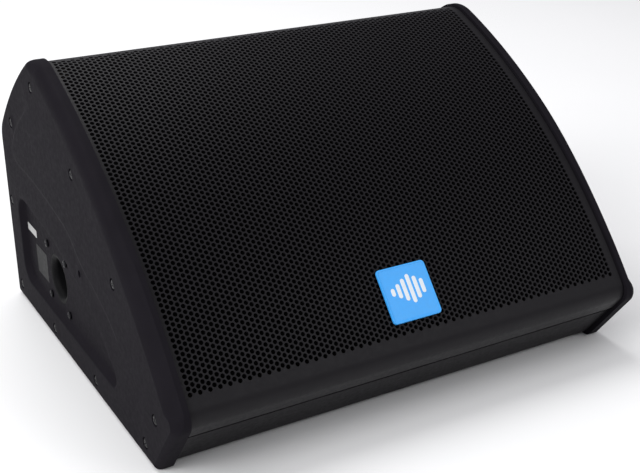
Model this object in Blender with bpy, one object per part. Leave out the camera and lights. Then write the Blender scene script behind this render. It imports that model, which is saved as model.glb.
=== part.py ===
"""Active coaxial stage monitor wedge, modelled as separate parts in metres, +Z up.

Origin: centre of the footprint, on the floor. +X is to the right seen from the front, -Y is the front.
The cabinet's side outline is one convex chain of arcs. Each of its points is named by the angle of the
outward normal there: 0 points to the rear, 90 up, 180 to the front and 270 down.
"""
import math

import bmesh
import bpy
from mathutils import Matrix, Vector

MM = 0.001
GAP = 0.3 * MM                      # clearance between touching parts

# ---- driving dimensions ----
WIDTH = 475 * MM
DEPTH = 425 * MM
REAR = DEPTH / 2
REAR_FLAT_TOP = 173 * MM
SHOULDER_R, SHOULDER_END = 32 * MM, 43.5
REAR_R, REAR_END = 455 * MM, 60.5
CROWN_R, CROWN_END = 41 * MM, 111.5
FRONT_R, FRONT_END = 634 * MM, 142.7
NOSE_R, CHAMFER_ANGLE = 15 * MM, 216.5
TOE_R, HEEL_R = 8 * MM, 6 * MM
SMALL_STEP, LARGE_STEP = 18.0, 4.5  # degrees between outline points on small and on large arcs
CORNER_STEPS = 4
LARGE_R = 200 * MM

# ---- cabinet ----
CAP_THICK = 15 * MM
CAP_SKIN = 4 * MM
CAP_FRONT_ROUND, CAP_NOSE_ROUND, CAP_SMALL_ROUND = 16 * MM, 10.5 * MM, 5.5 * MM
CAP_ROUND_DEPTH = 10 * MM
CAP_HOLLOW_INSET = 11 * MM
BODY_X = WIDTH / 2 - CAP_THICK - GAP
WALL = 15 * MM
SIDE_X = BODY_X - WALL
FLOOR_GAP = 5 * MM
REAR_INSET = 9 * MM
TOP_INSET = 5 * MM
TOP_PANEL_END = 78.0
GRILLE_INSET, GRILLE_THICK = 2.8 * MM, 1.5 * MM
GRILLE_X = 221.5 * MM
GRILLE_NOSE_R, GRILLE_CHAMFER_INSET = 15 * MM, 3 * MM
GRILLE_LIP = 15 * MM
FOAM_THICK = 3 * MM
FACET_GAP = 1.0 * MM                # between curved sheets, whose facets don't line up
BADGE_X = -2.7 * MM
SILL_INSET, SILL_THICK, SILL_TOP = 4.5 * MM, 12 * MM, 40 * MM

# ---- left cap's pocket and screws: distance forward of the rear face, height ----
POCKET_DEPTH, POCKET_WALL, POCKET_DRAFT = 6.5 * MM, 3 * MM, 3 * MM
POCKET = ((38, 33, 20), (322, 33, 11), (243, 89, 30), (150, 116, 40), (38, 126, 20))     # last value: corner radius
CAP_SCREWS = ((126, 257), (44, 201), (224, 206), (14.5, 110), (309, 139),
              (18, 16), (126, 13), (242, 14), (360, 16), (385, 52))
INSERT_HOLE = (222, 112)
SCREW_HEAD_R, SCREW_HEAD_H, SCREW_SHANK_R, SCREW_LENGTH = 4.4 * MM, 2.4 * MM, 2 * MM, 22 * MM
COUNTERBORE_R, COUNTERBORE_DEPTH, BOSS_R = 5.2 * MM, 2.8 * MM, 8 * MM

# ---- pole cup ----
CUP_CENTRE = (134.5, 69)
CUP_BORE_R, CUP_RIM_R, CUP_TUBE_R, CUP_LENGTH = 18.3 * MM, 24.5 * MM, 21 * MM, 82 * MM
CUP_FLANGE, CUP_FLANGE_THICK, CUP_SCREW_PITCH = 64 * MM, 3 * MM, 27 * MM

# ---- loudspeaker, in its own frame: origin on the chord of the front curve, +Z out of the cabinet ----
DRIVER_SHIFT = 4 * MM
BAFFLE_INSET, BAFFLE_THICK = 18 * MM, 18 * MM
BAFFLE_LOW, BAFFLE_HIGH = -159 * MM, 165 * MM
CUTOUT_R, FLANGE_R, FLANGE_THICK = 139 * MM, 153 * MM, 4.2 * MM
COIL_R, COIL_THICK = 31.4 * MM, 1.6 * MM
CONE_R = 118 * MM
PORT_X, PORT_Y, PORT_R, PORT_WALL, PORT_END = 172 * MM, -122 * MM, 28 * MM, 2.5 * MM, -70 * MM
TURN_STEPS = 28

# ---- handle ----
HANDLE_ANGLE = 52.0
HANDLE_X, HANDLE_Y, HANDLE_DEPTH, HANDLE_WALL = 130 * MM, 56 * MM, 38 * MM, 3 * MM
HANDLE_RIM, GRIP_R, GRIP_SHIFT = 14 * MM, 8 * MM, 12 * MM

# ---- amplifier panel, x and z across the rear ----
PLATE_X, PLATE_LOW, PLATE_HIGH, PLATE_THICK = 165 * MM, 27 * MM, 163 * MM, 3 * MM
PANEL_Y = REAR - REAR_INSET
PLATE_Y = PANEL_Y - WALL - GAP                         # outer face of the plate, behind the panel's window
PLATE_BACK = PLATE_Y - PLATE_THICK
STUD = 26 * MM
CONTROL_Z, SECOND_Z, MAINS_Z = 125 * MM, 98 * MM, 58 * MM
KNOBS = (("volume", 62 * MM), ("low", 92 * MM), ("high", 122 * MM))
KNOB_R, KNOB_H, SHAFT_R = 8 * MM, 8.6 * MM, 3 * MM
POT_SIZE, POT_DEPTH = 8.5 * MM, 10 * MM
INPUT_X, OUTPUT_X, XLR_R, XLR_BORE_R = -10 * MM, 27 * MM, 11.8 * MM, 9.6 * MM
XLR_DEPTH, XLR_PLATE_X, XLR_PLATE_Z, XLR_PLATE_THICK = 24 * MM, 13 * MM, 15.5 * MM, 2 * MM
SWITCH_X, INLET_X = 58 * MM, 108 * MM
BUTTON_X, LED_X = 62 * MM, 92 * MM
SINK_X, SINK_HALF_X, SINK_HALF_Z, FINS = -95 * MM, 52 * MM, 46 * MM, 9


# ---------------------------------------------------------------- outline of the cabinet

def arc_chain():
    """The convex chain above the floor: (centre, radius, first angle, last angle), rear to nose."""
    arcs = []
    point, angle = Vector((REAR, REAR_FLAT_TOP)), 0.0
    for radius, end in ((SHOULDER_R, SHOULDER_END), (REAR_R, REAR_END), (CROWN_R, CROWN_END),
                        (FRONT_R, FRONT_END), (NOSE_R, CHAMFER_ANGLE)):
        centre = point - radius * normal(angle)
        arcs.append((centre, radius, angle, end))
        point, angle = centre + radius * normal(end), end
    return arcs


def normal(angle):
    return Vector((math.cos(math.radians(angle)), math.sin(math.radians(angle))))


ARCS = arc_chain()
CHAMFER = ARCS[4][0].dot(normal(CHAMFER_ANGLE)) + NOSE_R           # distance of the chamfer plane


def steps(first, last, radius):
    """Angles from first to last, close enough for an arc of this radius."""
    step = LARGE_STEP if radius > LARGE_R else SMALL_STEP
    count = max(1, math.ceil(abs(last - first) / step))
    return [first + (last - first) * i / count for i in range(count + 1)]


def curve(inset, first, last):
    """Points of the chain, moved inwards by inset, between two normal angles."""
    points = []
    for centre, radius, start, end in ARCS:
        low, high = max(first, start), min(last, end)
        if high - low > 1e-6:
            points += [centre + (radius - inset) * normal(a) for a in steps(low, high, radius)]
    return tidy(points)


def tidy(points):
    """Drop points that repeat the one before."""
    kept = [points[0]]
    for p in points[1:]:
        if (p - kept[-1]).length > 1e-5:
            kept.append(p)
    return kept


def chamfer_y(inset, z):
    """Where the chamfer plane, moved inwards, is at height z."""
    n = normal(CHAMFER_ANGLE)
    return (CHAMFER - inset - n.y * z) / n.x


def front_angle(front_inset, chamfer_inset, radius=0.0):
    """Normal angle where a round of this radius leaves the inset front arc for the inset chamfer."""
    centre, front_r = ARCS[3][0], ARCS[3][1]
    reach = CHAMFER - chamfer_inset - radius - centre.dot(normal(CHAMFER_ANGLE))
    return CHAMFER_ANGLE - math.degrees(math.acos(reach / (front_r - front_inset - radius)))


def rear_angle(inset, y):
    """Normal angle at which the inset rear curve passes depth y."""
    centre, radius = ARCS[1][0], ARCS[1][1]
    return math.degrees(math.acos((y - centre.x) / (radius - inset)))


def rounded(corners):
    """Outline through (x, y, radius) corners, each rounded by an arc of CORNER_STEPS chords."""
    points = []
    for i, (x, y, radius) in enumerate(corners):
        corner = Vector((x, y))
        before = (Vector(corners[i - 1][:2]) - corner).normalized()
        after = (Vector(corners[(i + 1) % len(corners)][:2]) - corner).normalized()
        if radius <= 0:
            points.append(corner)
            continue
        half = before.angle(after) / 2
        centre = corner + (before + after).normalized() * radius / math.sin(half)
        start = corner + before * radius / math.tan(half) - centre
        end = corner + after * radius / math.tan(half) - centre
        turn = start.angle_signed(end)
        for k in range(CORNER_STEPS + 1):
            points.append(centre + Matrix.Rotation(-turn * k / CORNER_STEPS, 2) @ start)
    return points


# ---------------------------------------------------------------- building tools

def material(name, color, roughness, metallic=0.0):
    mat = bpy.data.materials.new(name)
    mat.use_nodes = True
    shader = mat.node_tree.nodes["Principled BSDF"]
    shader.inputs["Base Color"].default_value = (*color, 1.0)
    shader.inputs["Roughness"].default_value = roughness
    shader.inputs["Metallic"].default_value = metallic
    return mat


def finish(bm, name, mat=None, frame=None, smooth=False):
    """Turn a bmesh into a named object in the given frame."""
    bmesh.ops.recalc_face_normals(bm, faces=bm.faces)
    mesh = bpy.data.meshes.new(name)
    bm.to_mesh(mesh)
    bm.free()
    if smooth:
        mesh.shade_smooth()
        mesh.set_sharp_from_angle(angle=math.radians(35))
    obj = bpy.data.objects.new(name, mesh)
    bpy.context.collection.objects.link(obj)
    if frame is not None:
        obj.matrix_world = frame
    if mat is not None:
        mesh.materials.append(mat)
    return obj


def prism_into(bm, points, low, high):
    """Extrude a flat outline from x = low to x = high; its two coordinates are y and z."""
    face = bm.faces.new([bm.verts.new((low, p[0], p[1])) for p in points])
    grown = bmesh.ops.extrude_face_region(bm, geom=[face])
    moved = [v for v in grown["geom"] if isinstance(v, bmesh.types.BMVert)]
    bmesh.ops.translate(bm, vec=(high - low, 0, 0), verts=moved)


def prism(name, points, low, high, mat=None, frame=None):
    bm = bmesh.new()
    prism_into(bm, points, low, high)
    return finish(bm, name, mat, frame)


def box_into(bm, low, high):
    corners = ((low[1], low[2]), (high[1], low[2]), (high[1], high[2]), (low[1], high[2]))
    prism_into(bm, corners, low[0], high[0])


def box(name, low, high, mat=None, frame=None):
    bm = bmesh.new()
    box_into(bm, low, high)
    return finish(bm, name, mat, frame)


def boxes(name, spans, mat=None, frame=None):
    """Several boxes in one mesh; they don't touch each other."""
    bm = bmesh.new()
    for low, high in spans:
        box_into(bm, low, high)
    return finish(bm, name, mat, frame)


def turned(name, profile, mat=None, frame=None, count=TURN_STEPS):
    """Turn a closed (radius, height) profile about the local Z axis."""
    bm = bmesh.new()
    verts = [bm.verts.new((r, 0, z)) for r, z in profile]
    edges = [bm.edges.new((verts[i - 1], v)) for i, v in enumerate(verts)
             if profile[i - 1][0] > 0 or profile[i][0] > 0]
    bmesh.ops.spin(bm, geom=verts + edges, angle=2 * math.pi, steps=count, axis=(0, 0, 1),
                   cent=(0, 0, 0), use_merge=True)
    bmesh.ops.remove_doubles(bm, verts=bm.verts, dist=1e-6)
    return finish(bm, name, mat, frame, smooth=True)


def rods(name, places, radius, low, high, count=12, frame=None):
    """Upright cylinders in one mesh, at (x, y) places."""
    bm = bmesh.new()
    for x, y in places:
        where = Matrix.Translation((x, y, (low + high) / 2))
        bmesh.ops.create_cone(bm, cap_ends=True, segments=count, radius1=radius, radius2=radius,
                              depth=high - low, matrix=where)
    return finish(bm, name, None, frame)


def combine(obj, tool, operation):
    """Boolean obj with a helper that isn't itself a part."""
    tool.hide_render = True
    tool.display_type = "WIRE"
    modifier = obj.modifiers.new(tool.name, "BOOLEAN")
    modifier.operation = operation
    modifier.solver = "EXACT"
    modifier.object = tool


def cut(obj, tool):
    combine(obj, tool, "DIFFERENCE")


def add(obj, tool):
    combine(obj, tool, "UNION")


def facing(x, y, z, towards):
    """Frame at a point with local +Z along a direction and local +X close to the world's X or -Z."""
    direction = Vector(towards)
    side = Vector((1, 0, 0)) if abs(direction.x) < 0.5 else Vector((0, 0, -1))
    up = direction.cross(side)
    basis = Matrix((side, up, direction)).transposed().to_4x4()
    return Matrix.Translation((x, y, z)) @ basis


def joint_frame(name, frame):
    """An empty that marks a moving part's axis."""
    empty = bpy.data.objects.new(name, None)
    empty.matrix_world = frame
    bpy.context.collection.objects.link(empty)
    return empty


def place(forward, up):
    """Side-face position, from the distance forward of the rear face and the height, in millimetres."""
    return Vector((REAR - forward * MM, up * MM))


# ---------------------------------------------------------------- cabinet panels

def round_size(angle):
    """How far the cap's edge round reaches in from the outline."""
    if 95 < angle < FRONT_END:
        return CAP_FRONT_ROUND
    if FRONT_END <= angle <= CHAMFER_ANGLE:
        share = (angle - FRONT_END) / (CHAMFER_ANGLE - FRONT_END)
        return CAP_NOSE_ROUND + (CAP_SMALL_ROUND - CAP_NOSE_ROUND) * share
    if 60 < angle <= 95:
        return CAP_SMALL_ROUND + (CAP_FRONT_ROUND - CAP_SMALL_ROUND) * (angle - 60) / 35
    return CAP_SMALL_ROUND


def cap_stations():
    """(point, normal angle) round the whole cap, toe and heel rounds included."""
    stations = []
    toe = Vector((chamfer_y(TOE_R, TOE_R), TOE_R))
    heel = Vector((REAR - HEEL_R, HEEL_R))
    last = [(toe, TOE_R, CHAMFER_ANGLE, 270.0), (heel, HEEL_R, 270.0, 360.0)]
    for centre, radius, start, end in ARCS + last:
        stations += [(centre + radius * normal(a), a) for a in steps(start, end, radius)]
    kept = []
    for point, angle in stations:
        if not kept or (point - kept[-1][0]).length > 1e-5:
            kept.append((point, angle))
    return kept


def side_cap(side, mat):
    """Moulded end cap with a soft front edge, hollow behind, with a shallow pocket."""
    name = "left_side_cap" if side < 0 else "right_side_cap"
    stations = cap_stations()
    rings = []
    inner = WIDTH / 2 - CAP_THICK
    for turn in (None, 0, 45, 90):
        ring = []
        for point, angle in stations:
            size = round_size(angle)
            depth = min(size, CAP_ROUND_DEPTH)
            if turn is None:
                x, inset = inner, 0.0
            else:
                x = WIDTH / 2 - depth * (1 - math.sin(math.radians(turn)))
                inset = size * (1 - math.cos(math.radians(turn)))
            place_2d = point - inset * normal(angle)
            ring.append((side * x, place_2d.x, place_2d.y))
        rings.append(ring)
    bm = bmesh.new()
    loops = [[bm.verts.new(p) for p in ring] for ring in rings]
    for low, high in zip(loops, loops[1:]):
        for i in range(len(low)):
            j = (i + 1) % len(low)
            bm.faces.new((low[i], low[j], high[j], high[i]))
    bm.faces.new(loops[0])
    bm.faces.new(loops[-1])
    cap = finish(bm, name, mat, smooth=True)
    cut(cap, cap_hollow(side))
    cut(cap, pocket_cutter(side))
    cut(cap, screw_holes(side))
    cut(cap, rods(f"cut_insert_{side}", [place(*INSERT_HOLE)], 3 * MM, -4 * MM, 4 * MM, 12,
                  cap_face_frame(side)))
    if side < 0:
        cut(cap, rods("cut_cap_for_cup", [place(*CUP_CENTRE)], CUP_RIM_R + 2 * GAP, -30 * MM, 30 * MM, 24,
                      cap_face_frame(side)))
    return cap


def cap_face_frame(side):
    """Frame on a cap's outer face: local X along world Y, local Y along world Z, local Z along X."""
    basis = Matrix(((0, 0, 1), (1, 0, 0), (0, 1, 0))).to_4x4()
    return Matrix.Translation((side * WIDTH / 2, 0, 0)) @ basis


def pocket_outline(grow):
    return rounded([(*place(f, z), r * MM + grow) for f, z, r in grown_corners(grow)])


def grown_corners(grow):
    """The pocket's corners moved outwards by grow."""
    points = [Vector((f, z)) for f, z, _ in POCKET]
    moved = []
    for i, (_, _, radius) in enumerate(POCKET):
        before = (points[i] - points[i - 1]).normalized()
        after = (points[(i + 1) % len(points)] - points[i]).normalized()
        out_before = Vector((before.y, -before.x))
        out_after = Vector((after.y, -after.x))
        shift = (out_before + out_after) / (1 + out_before.dot(out_after))
        spot = points[i] + shift * grow / MM
        moved.append((spot.x, spot.y, radius))
    return moved


def pocket_cutter(side):
    """Drafted cutter: full outline at the cap's face, smaller at the pocket's floor."""
    bm = bmesh.new()
    loops = []
    for depth, grow in ((-2 * MM, 0.8 * MM), (POCKET_DEPTH, -POCKET_DRAFT)):
        x = side * (WIDTH / 2 - depth)
        loops.append([bm.verts.new((x, p[0], p[1])) for p in pocket_outline(grow)])
    for i in range(len(loops[0])):
        j = (i + 1) % len(loops[0])
        bm.faces.new((loops[0][i], loops[0][j], loops[1][j], loops[1][i]))
    bm.faces.new(loops[0])
    bm.faces.new(loops[1])
    return finish(bm, f"cut_pocket_{side}")


def cap_hollow(side):
    """Space behind the cap's skin, less the pocket's tub and the screw bosses."""
    nose = front_angle(CAP_HOLLOW_INSET, CAP_HOLLOW_INSET)
    inset = CAP_HOLLOW_INSET
    points = curve(inset, 0, nose)
    points += [Vector((chamfer_y(inset, inset), inset)), Vector((REAR - inset, inset))]
    low = WIDTH / 2 - CAP_THICK - 2 * MM
    hollow = prism(f"cut_hollow_{side}", points, side * low, side * (WIDTH / 2 - CAP_SKIN))
    tub = prism(f"keep_tub_{side}", pocket_outline(POCKET_WALL), side * (low - MM), side * WIDTH / 2)
    cut(hollow, tub)
    spots = [place(*s) for s in CAP_SCREWS + (INSERT_HOLE,)]
    cut(hollow, rods(f"keep_bosses_{side}", spots, BOSS_R, -30 * MM, 30 * MM, 10, cap_face_frame(side)))
    return hollow


def screw_holes(side):
    """Through holes for the screws, with a wider counterbore in the cap's face."""
    frame = cap_face_frame(side)
    spots = [place(*s) for s in CAP_SCREWS]
    holes = rods(f"cut_screw_holes_{side}", spots, SCREW_SHANK_R + GAP, -40 * MM, 40 * MM, 8, frame)
    add(holes, rods(f"cut_counterbores_{side}", spots, COUNTERBORE_R, -COUNTERBORE_DEPTH,
                    COUNTERBORE_DEPTH, 12, frame))
    return holes


def open_for_screws(panel):
    """Cut the caps' screw holes through a panel that some of the screws end in."""
    for side in (-1, 1):
        cut(panel, bpy.data.objects[f"cut_screw_holes_{side}"])


def cap_screw(name, spot, mat):
    """Pan-head screw through the left cap into the side panel, pointing along +X."""
    face = -WIDTH / 2 + COUNTERBORE_DEPTH - GAP
    profile = ((0, SCREW_HEAD_H), (SCREW_HEAD_R * 0.62, SCREW_HEAD_H), (SCREW_HEAD_R, SCREW_HEAD_H * 0.45),
               (SCREW_HEAD_R, 0), (SCREW_SHANK_R, 0), (SCREW_SHANK_R, -SCREW_LENGTH + 2 * MM),
               (0, -SCREW_LENGTH))
    turned(name, profile, mat, facing(face, *spot, (-1, 0, 0)), 8)


def side_panel(side, mat):
    """Plywood side behind a cap."""
    name = "left_side_panel" if side < 0 else "right_side_panel"
    behind_grille = GRILLE_INSET + GRILLE_THICK + FOAM_THICK + 2 * FACET_GAP
    behind_top = TOP_INSET + WALL + GAP
    behind_sill = SILL_INSET + SILL_THICK + GAP
    floor = FLOOR_GAP + WALL + GAP
    rear = PANEL_Y - WALL - GAP
    points = curve(behind_top, rear_angle(behind_top, rear), TOP_PANEL_END)
    points += curve(behind_grille, TOP_PANEL_END, front_angle(behind_grille, behind_sill))
    points += [Vector((chamfer_y(behind_sill, floor), floor)), Vector((rear, floor))]
    panel = prism(name, points, side * SIDE_X, side * BODY_X, mat)
    cut(panel, bpy.data.objects[f"cut_screw_holes_{side}"])
    if side < 0:
        seat, half = place(*CUP_CENTRE), CUP_FLANGE / 2 + GAP
        cut(panel, rods("cut_side_for_cup", [seat], CUP_TUBE_R + 2 * GAP, -40 * MM, 40 * MM, 24,
                        cap_face_frame(side)))
        cut(panel, box("cut_flange_rebate", (-WIDTH / 2, seat.x - half, seat.y - half),
                       (-BODY_X + CUP_FLANGE_THICK + GAP, seat.x + half, seat.y + half)))
    return panel


def flat_panels(paint):
    """Bottom, sill and rear panels."""
    behind_sill = SILL_INSET + SILL_THICK + GAP
    top = FLOOR_GAP + WALL
    front_low, front_high = chamfer_y(behind_sill, FLOOR_GAP), chamfer_y(behind_sill, top)
    bottom = ((front_low, FLOOR_GAP), (PANEL_Y, FLOOR_GAP), (PANEL_Y, top), (front_high, top))
    open_for_screws(prism("bottom_panel", bottom, -BODY_X, BODY_X, paint))

    inner = SILL_INSET + SILL_THICK
    outer_top = Vector((chamfer_y(SILL_INSET, SILL_TOP), SILL_TOP))
    inner_top = outer_top - SILL_THICK * normal(CHAMFER_ANGLE)
    sill = (outer_top, inner_top, Vector((chamfer_y(inner, FLOOR_GAP), FLOOR_GAP)),
            Vector((chamfer_y(SILL_INSET, FLOOR_GAP), FLOOR_GAP)))
    prism("front_sill", sill, -BODY_X, BODY_X, paint)

    rear = box("rear_panel", (-BODY_X, PANEL_Y - WALL, top + GAP), (BODY_X, PANEL_Y, REAR_FLAT_TOP - GAP), paint)
    open_for_screws(rear)
    edge = 12 * MM
    cut(rear, box("cut_amp_window", (-PLATE_X + edge, PANEL_Y - 2 * WALL, PLATE_LOW + edge),
                  (PLATE_X - edge, PANEL_Y + WALL, PLATE_HIGH - edge)))


def top_rear_panel(paint):
    """Bent panel over the shoulder and the rear curve, with the handle's cut-out."""
    outer = curve(TOP_INSET, 0, TOP_PANEL_END)
    inner = curve(TOP_INSET + WALL, 0, TOP_PANEL_END)
    panel = prism("top_rear_panel", outer + inner[::-1], -BODY_X, BODY_X, paint)
    open_for_screws(panel)
    room = HANDLE_WALL + GAP
    cut(panel, box("cut_handle_window", (-HANDLE_X / 2 - room, -HANDLE_Y / 2 - room, -2 * HANDLE_DEPTH),
                   (HANDLE_X / 2 + room, HANDLE_Y / 2 + room, HANDLE_DEPTH), None, handle_frame()))


def grille(paint, foam_mat):
    """Bent steel grille with a round lower edge, and the foam behind it. The holes are left out."""
    nose = front_angle(GRILLE_INSET, GRILLE_CHAMFER_INSET, GRILLE_NOSE_R)
    front = ARCS[3]
    centre = front[0] + (front[1] - GRILLE_INSET - GRILLE_NOSE_R) * normal(nose)

    def skin(depth):
        points = curve(GRILLE_INSET + depth, TOP_PANEL_END + 1.0, nose)
        points += [centre + (GRILLE_NOSE_R - depth) * normal(a)
                   for a in steps(nose, CHAMFER_ANGLE, GRILLE_NOSE_R)]
        points.append(points[-1] + GRILLE_LIP * normal(CHAMFER_ANGLE + 90))
        return tidy(points)

    prism("grille", skin(0) + skin(GRILLE_THICK)[::-1], -GRILLE_X, GRILLE_X, paint)
    low = GRILLE_INSET + GRILLE_THICK + FACET_GAP
    first, last = CROWN_END + 1, FRONT_END - 3
    foam = curve(low, first, last) + curve(low + FOAM_THICK, first, last)[::-1]
    prism("grille_foam", foam, -GRILLE_X + 2 * MM, GRILLE_X - 2 * MM, foam_mat)


def badge(mat):
    """Plain square badge with round corners, fixed on the grille near its lower edge."""
    centre, radius = ARCS[3][0], ARCS[3][1]
    angle, half, corner, thick = 138.5, 24.6 * MM, 3.5 * MM, 2 * MM
    spot = centre + (radius - GRILLE_INSET + 1.2 * MM) * normal(angle)
    frame = facing(BADGE_X, *spot, (0, *normal(angle)))
    outline = rounded([(x * half, y * half, corner) for x, y in ((-1, -1), (1, -1), (1, 1), (-1, 1))])
    turned_up = frame @ Matrix.Rotation(-math.pi / 2, 4, "Y")
    prism("badge", [(p.y, p.x) for p in outline], -thick / 2, thick / 2, mat, turned_up)


# ---------------------------------------------------------------- loudspeaker

def driver_frame():
    """Frame on the chord of the front curve, tilted to face out of it."""
    top = ARCS[3][0] + FRONT_R * normal(CROWN_END)
    bottom = ARCS[3][0] + FRONT_R * normal(FRONT_END)
    up = (top - bottom).normalized()
    spot = (top + bottom) / 2 + up * DRIVER_SHIFT
    outward = normal((CROWN_END + FRONT_END) / 2)
    return facing(0, *spot, (0, *outward))


def arc_profile(centre, radius, first, last, count):
    """(radius, height) points of an arc in a turned profile, angles in degrees."""
    points = []
    for i in range(count + 1):
        a = math.radians(first + (last - first) * i / count)
        points.append((centre[0] + radius * math.cos(a), centre[1] + radius * math.sin(a)))
    return points


def mm(*pairs):
    return [(r * MM, z * MM) for r, z in pairs]


def baffle(wood, plastic, frame):
    low, high = -BAFFLE_INSET - BAFFLE_THICK, -BAFFLE_INSET
    board = box("baffle_board", (-SIDE_X + GAP, BAFFLE_LOW, low), (SIDE_X - GAP, BAFFLE_HIGH, high), wood, frame)
    cut(board, rods("cut_driver", [(0, 0)], CUTOUT_R, -60 * MM, 20 * MM, 40, frame))
    ports = [(-PORT_X, PORT_Y), (PORT_X, PORT_Y)]
    cut(board, rods("cut_ports", ports, PORT_R + GAP, -60 * MM, 20 * MM, 24, frame))
    for name, x in (("left_port", -PORT_X), ("right_port", PORT_X)):
        bore, flange = PORT_R - PORT_WALL, PORT_R + 5 * MM
        front = high + GAP
        profile = [(flange, front), (flange, front + 2 * MM), (bore + 5 * MM, front + 3 * MM),
                   (bore + MM, front), (bore, front - 8 * MM), (bore, PORT_END), (PORT_R, PORT_END),
                   (PORT_R, front)]
        turned(name, profile, plastic, frame @ Matrix.Translation((x, PORT_Y, 0)), 24)


def basket(mat, frame):
    """Cast frame with eight windows between its arms."""
    front = -BAFFLE_INSET + GAP
    profile = [(FLANGE_R, front), (FLANGE_R, front + FLANGE_THICK), (136 * MM, front + FLANGE_THICK)]
    profile += mm((134, -16.5), (67, -86), (45, -86), (45, -91), (70, -91), (137.3, -22))
    profile.append((137.3 * MM, front))
    body = turned("woofer_basket", profile, mat, frame, 32)
    count, spread = 8, 14.0
    bm = bmesh.new()
    for i in range(count):
        middle = 360.0 * (i + 0.5) / count
        corners = []
        for radius, wide in ((74 * MM, 0.8), (170 * MM, 1.0)):
            for sign in (-1, 1):
                a = math.radians(middle + sign * spread * wide)
                corners.append((radius * math.cos(a), radius * math.sin(a)))
        ring = (corners[0], corners[1], corners[3], corners[2])
        low = [bm.verts.new((x, y, -82 * MM)) for x, y in ring]
        high = [bm.verts.new((x, y, -40 * MM)) for x, y in ring]
        bm.faces.new(low)
        bm.faces.new(high)
        for k in range(4):
            n = (k + 1) % 4
            bm.faces.new((low[k], low[n], high[n], high[k]))
    cut(body, finish(bm, "cut_basket_windows", None, frame))


def driver(parts, frame):
    """Motor, cone and horn, each a turned part on the driver's axis."""
    steel, ferrite, paper, rubber, cloth, copper, plastic = parts
    turned("magnet_front_plate", mm((34, -91.3), (62, -91.3), (62, -98), (34, -98)), steel, frame)
    turned("woofer_magnet", mm((45, -98.3), (64, -98.3), (64, -116), (45, -116)), ferrite, frame)
    turned("magnet_back_plate", mm((12, -90), (30.4, -90), (30.4, -116.3), (62, -116.3), (62, -123), (12, -123)),
           steel, frame)
    turned("hf_driver", mm((12, -123.3), (28, -123.3), (30, -126), (30, -144), (24, -150), (0, -150),
                           (0, -134), (12, -130)), plastic, frame)
    turned("coax_horn", mm((12, -89.7), (14.5, -89.7), (16, -70), (24, -48), (48, -29), (50, -27), (48, -26),
                           (44, -28.5), (21, -48), (13.5, -70)), plastic, frame)
    coil_out = COIL_R + COIL_THICK
    joint_frame("cone_axis", frame)
    turned("voice_coil", [(COIL_R, -60 * MM), (coil_out, -60 * MM), (coil_out, -102 * MM), (COIL_R, -102 * MM)],
           copper, frame)
    neck = coil_out + GAP
    turned("woofer_cone", [(neck, -72 * MM), (neck + 1.6 * MM, -72.6 * MM), (80 * MM, -37.5 * MM),
                           (CONE_R, -18.6 * MM), (CONE_R, -17 * MM), (79 * MM, -36 * MM),
                           (neck, -70 * MM)], paper, frame)
    roll = (126.6 * MM, -15.6 * MM)
    surround = [(118.4 * MM, -18 * MM)]
    surround += arc_profile(roll, 7.6 * MM, 188, 18, 4)
    surround += mm((146, -12.3), (146, -13.3), (133.6, -13.3))
    surround += arc_profile(roll, 6.4 * MM, 18, 180, 4)
    turned("woofer_surround", surround, rubber, frame)
    folds = [(r, -78 + 1.4 * (-1) ** i) for i, r in enumerate(range(38, 69, 6))]
    top = [(r, z + 0.5) for r, z in folds]
    turned("woofer_spider", mm((33.6, -77.5), *top, (70, -77.5), (70, -78.5), *[(r, z - 0.5) for r, z in folds[::-1]],
                               (33.6, -78.5)), cloth, frame)


# ---------------------------------------------------------------- pole cup and handle

def pole_cup(mat, screw_mat):
    """Socket for a loudspeaker pole: its lip fills a hole in the left pocket's floor, its flange lies behind."""
    frame = facing(-WIDTH / 2 + POCKET_DEPTH, *place(*CUP_CENTRE), (-1, 0, 0))
    flange_top = POCKET_DEPTH - CAP_THICK - GAP
    flange_low = flange_top - CUP_FLANGE_THICK
    flare = CUP_RIM_R - CUP_BORE_R
    profile = [(CUP_BORE_R, -CUP_LENGTH)]
    profile += arc_profile((CUP_RIM_R, -flare), flare, 180, 90, 4)
    profile += [(CUP_RIM_R, flange_top - MM), (CUP_TUBE_R, flange_top - MM),
                (CUP_TUBE_R, -CUP_LENGTH - 3 * MM), (0, -CUP_LENGTH - 3 * MM), (0, -CUP_LENGTH)]
    cup = turned("pole_cup", profile, mat, frame, 24)
    half = CUP_FLANGE / 2
    outline = rounded([(x * half, y * half, 8 * MM) for x, y in ((-1, -1), (1, -1), (1, 1), (-1, 1))])
    flange = prism("add_cup_flange", [(p.y, p.x) for p in outline], flange_low, flange_top, None,
                   frame @ Matrix.Rotation(-math.pi / 2, 4, "Y"))
    cut(flange, rods("cut_flange_bore", [(0, 0)], CUP_TUBE_R - MM, -20 * MM, 9 * MM, 24, frame))
    spots = [(x * CUP_SCREW_PITCH, y * CUP_SCREW_PITCH) for x in (-1, 1) for y in (-1, 1)]
    cut(flange, rods("cut_cup_screws", spots, SCREW_SHANK_R + GAP, -30 * MM, 9 * MM, 8, frame))
    add(cup, flange)
    cut(bpy.data.objects["left_side_cap"], bpy.data.objects["cut_cup_screws"])
    cut(bpy.data.objects["left_side_panel"], bpy.data.objects["cut_cup_screws"])
    profile = ((0, 2 * MM), (2.6 * MM, 2 * MM), (3.8 * MM, MM), (3.8 * MM, 0), (SCREW_SHANK_R, 0),
               (SCREW_SHANK_R, -18 * MM), (0, -20 * MM))
    for i, (x, y) in enumerate(spots):
        turned(f"pole_cup_screw_{i + 1}", profile, screw_mat, frame @ Matrix.Translation((x, y, GAP)), 8)


def handle_frame():
    """Frame on the outer face of the rear curve's panel, +Z out of it."""
    centre, radius = ARCS[1][0], ARCS[1][1]
    spot = centre + (radius - TOP_INSET) * normal(HANDLE_ANGLE)
    return facing(0, *spot, (0, *normal(HANDLE_ANGLE)))


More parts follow.
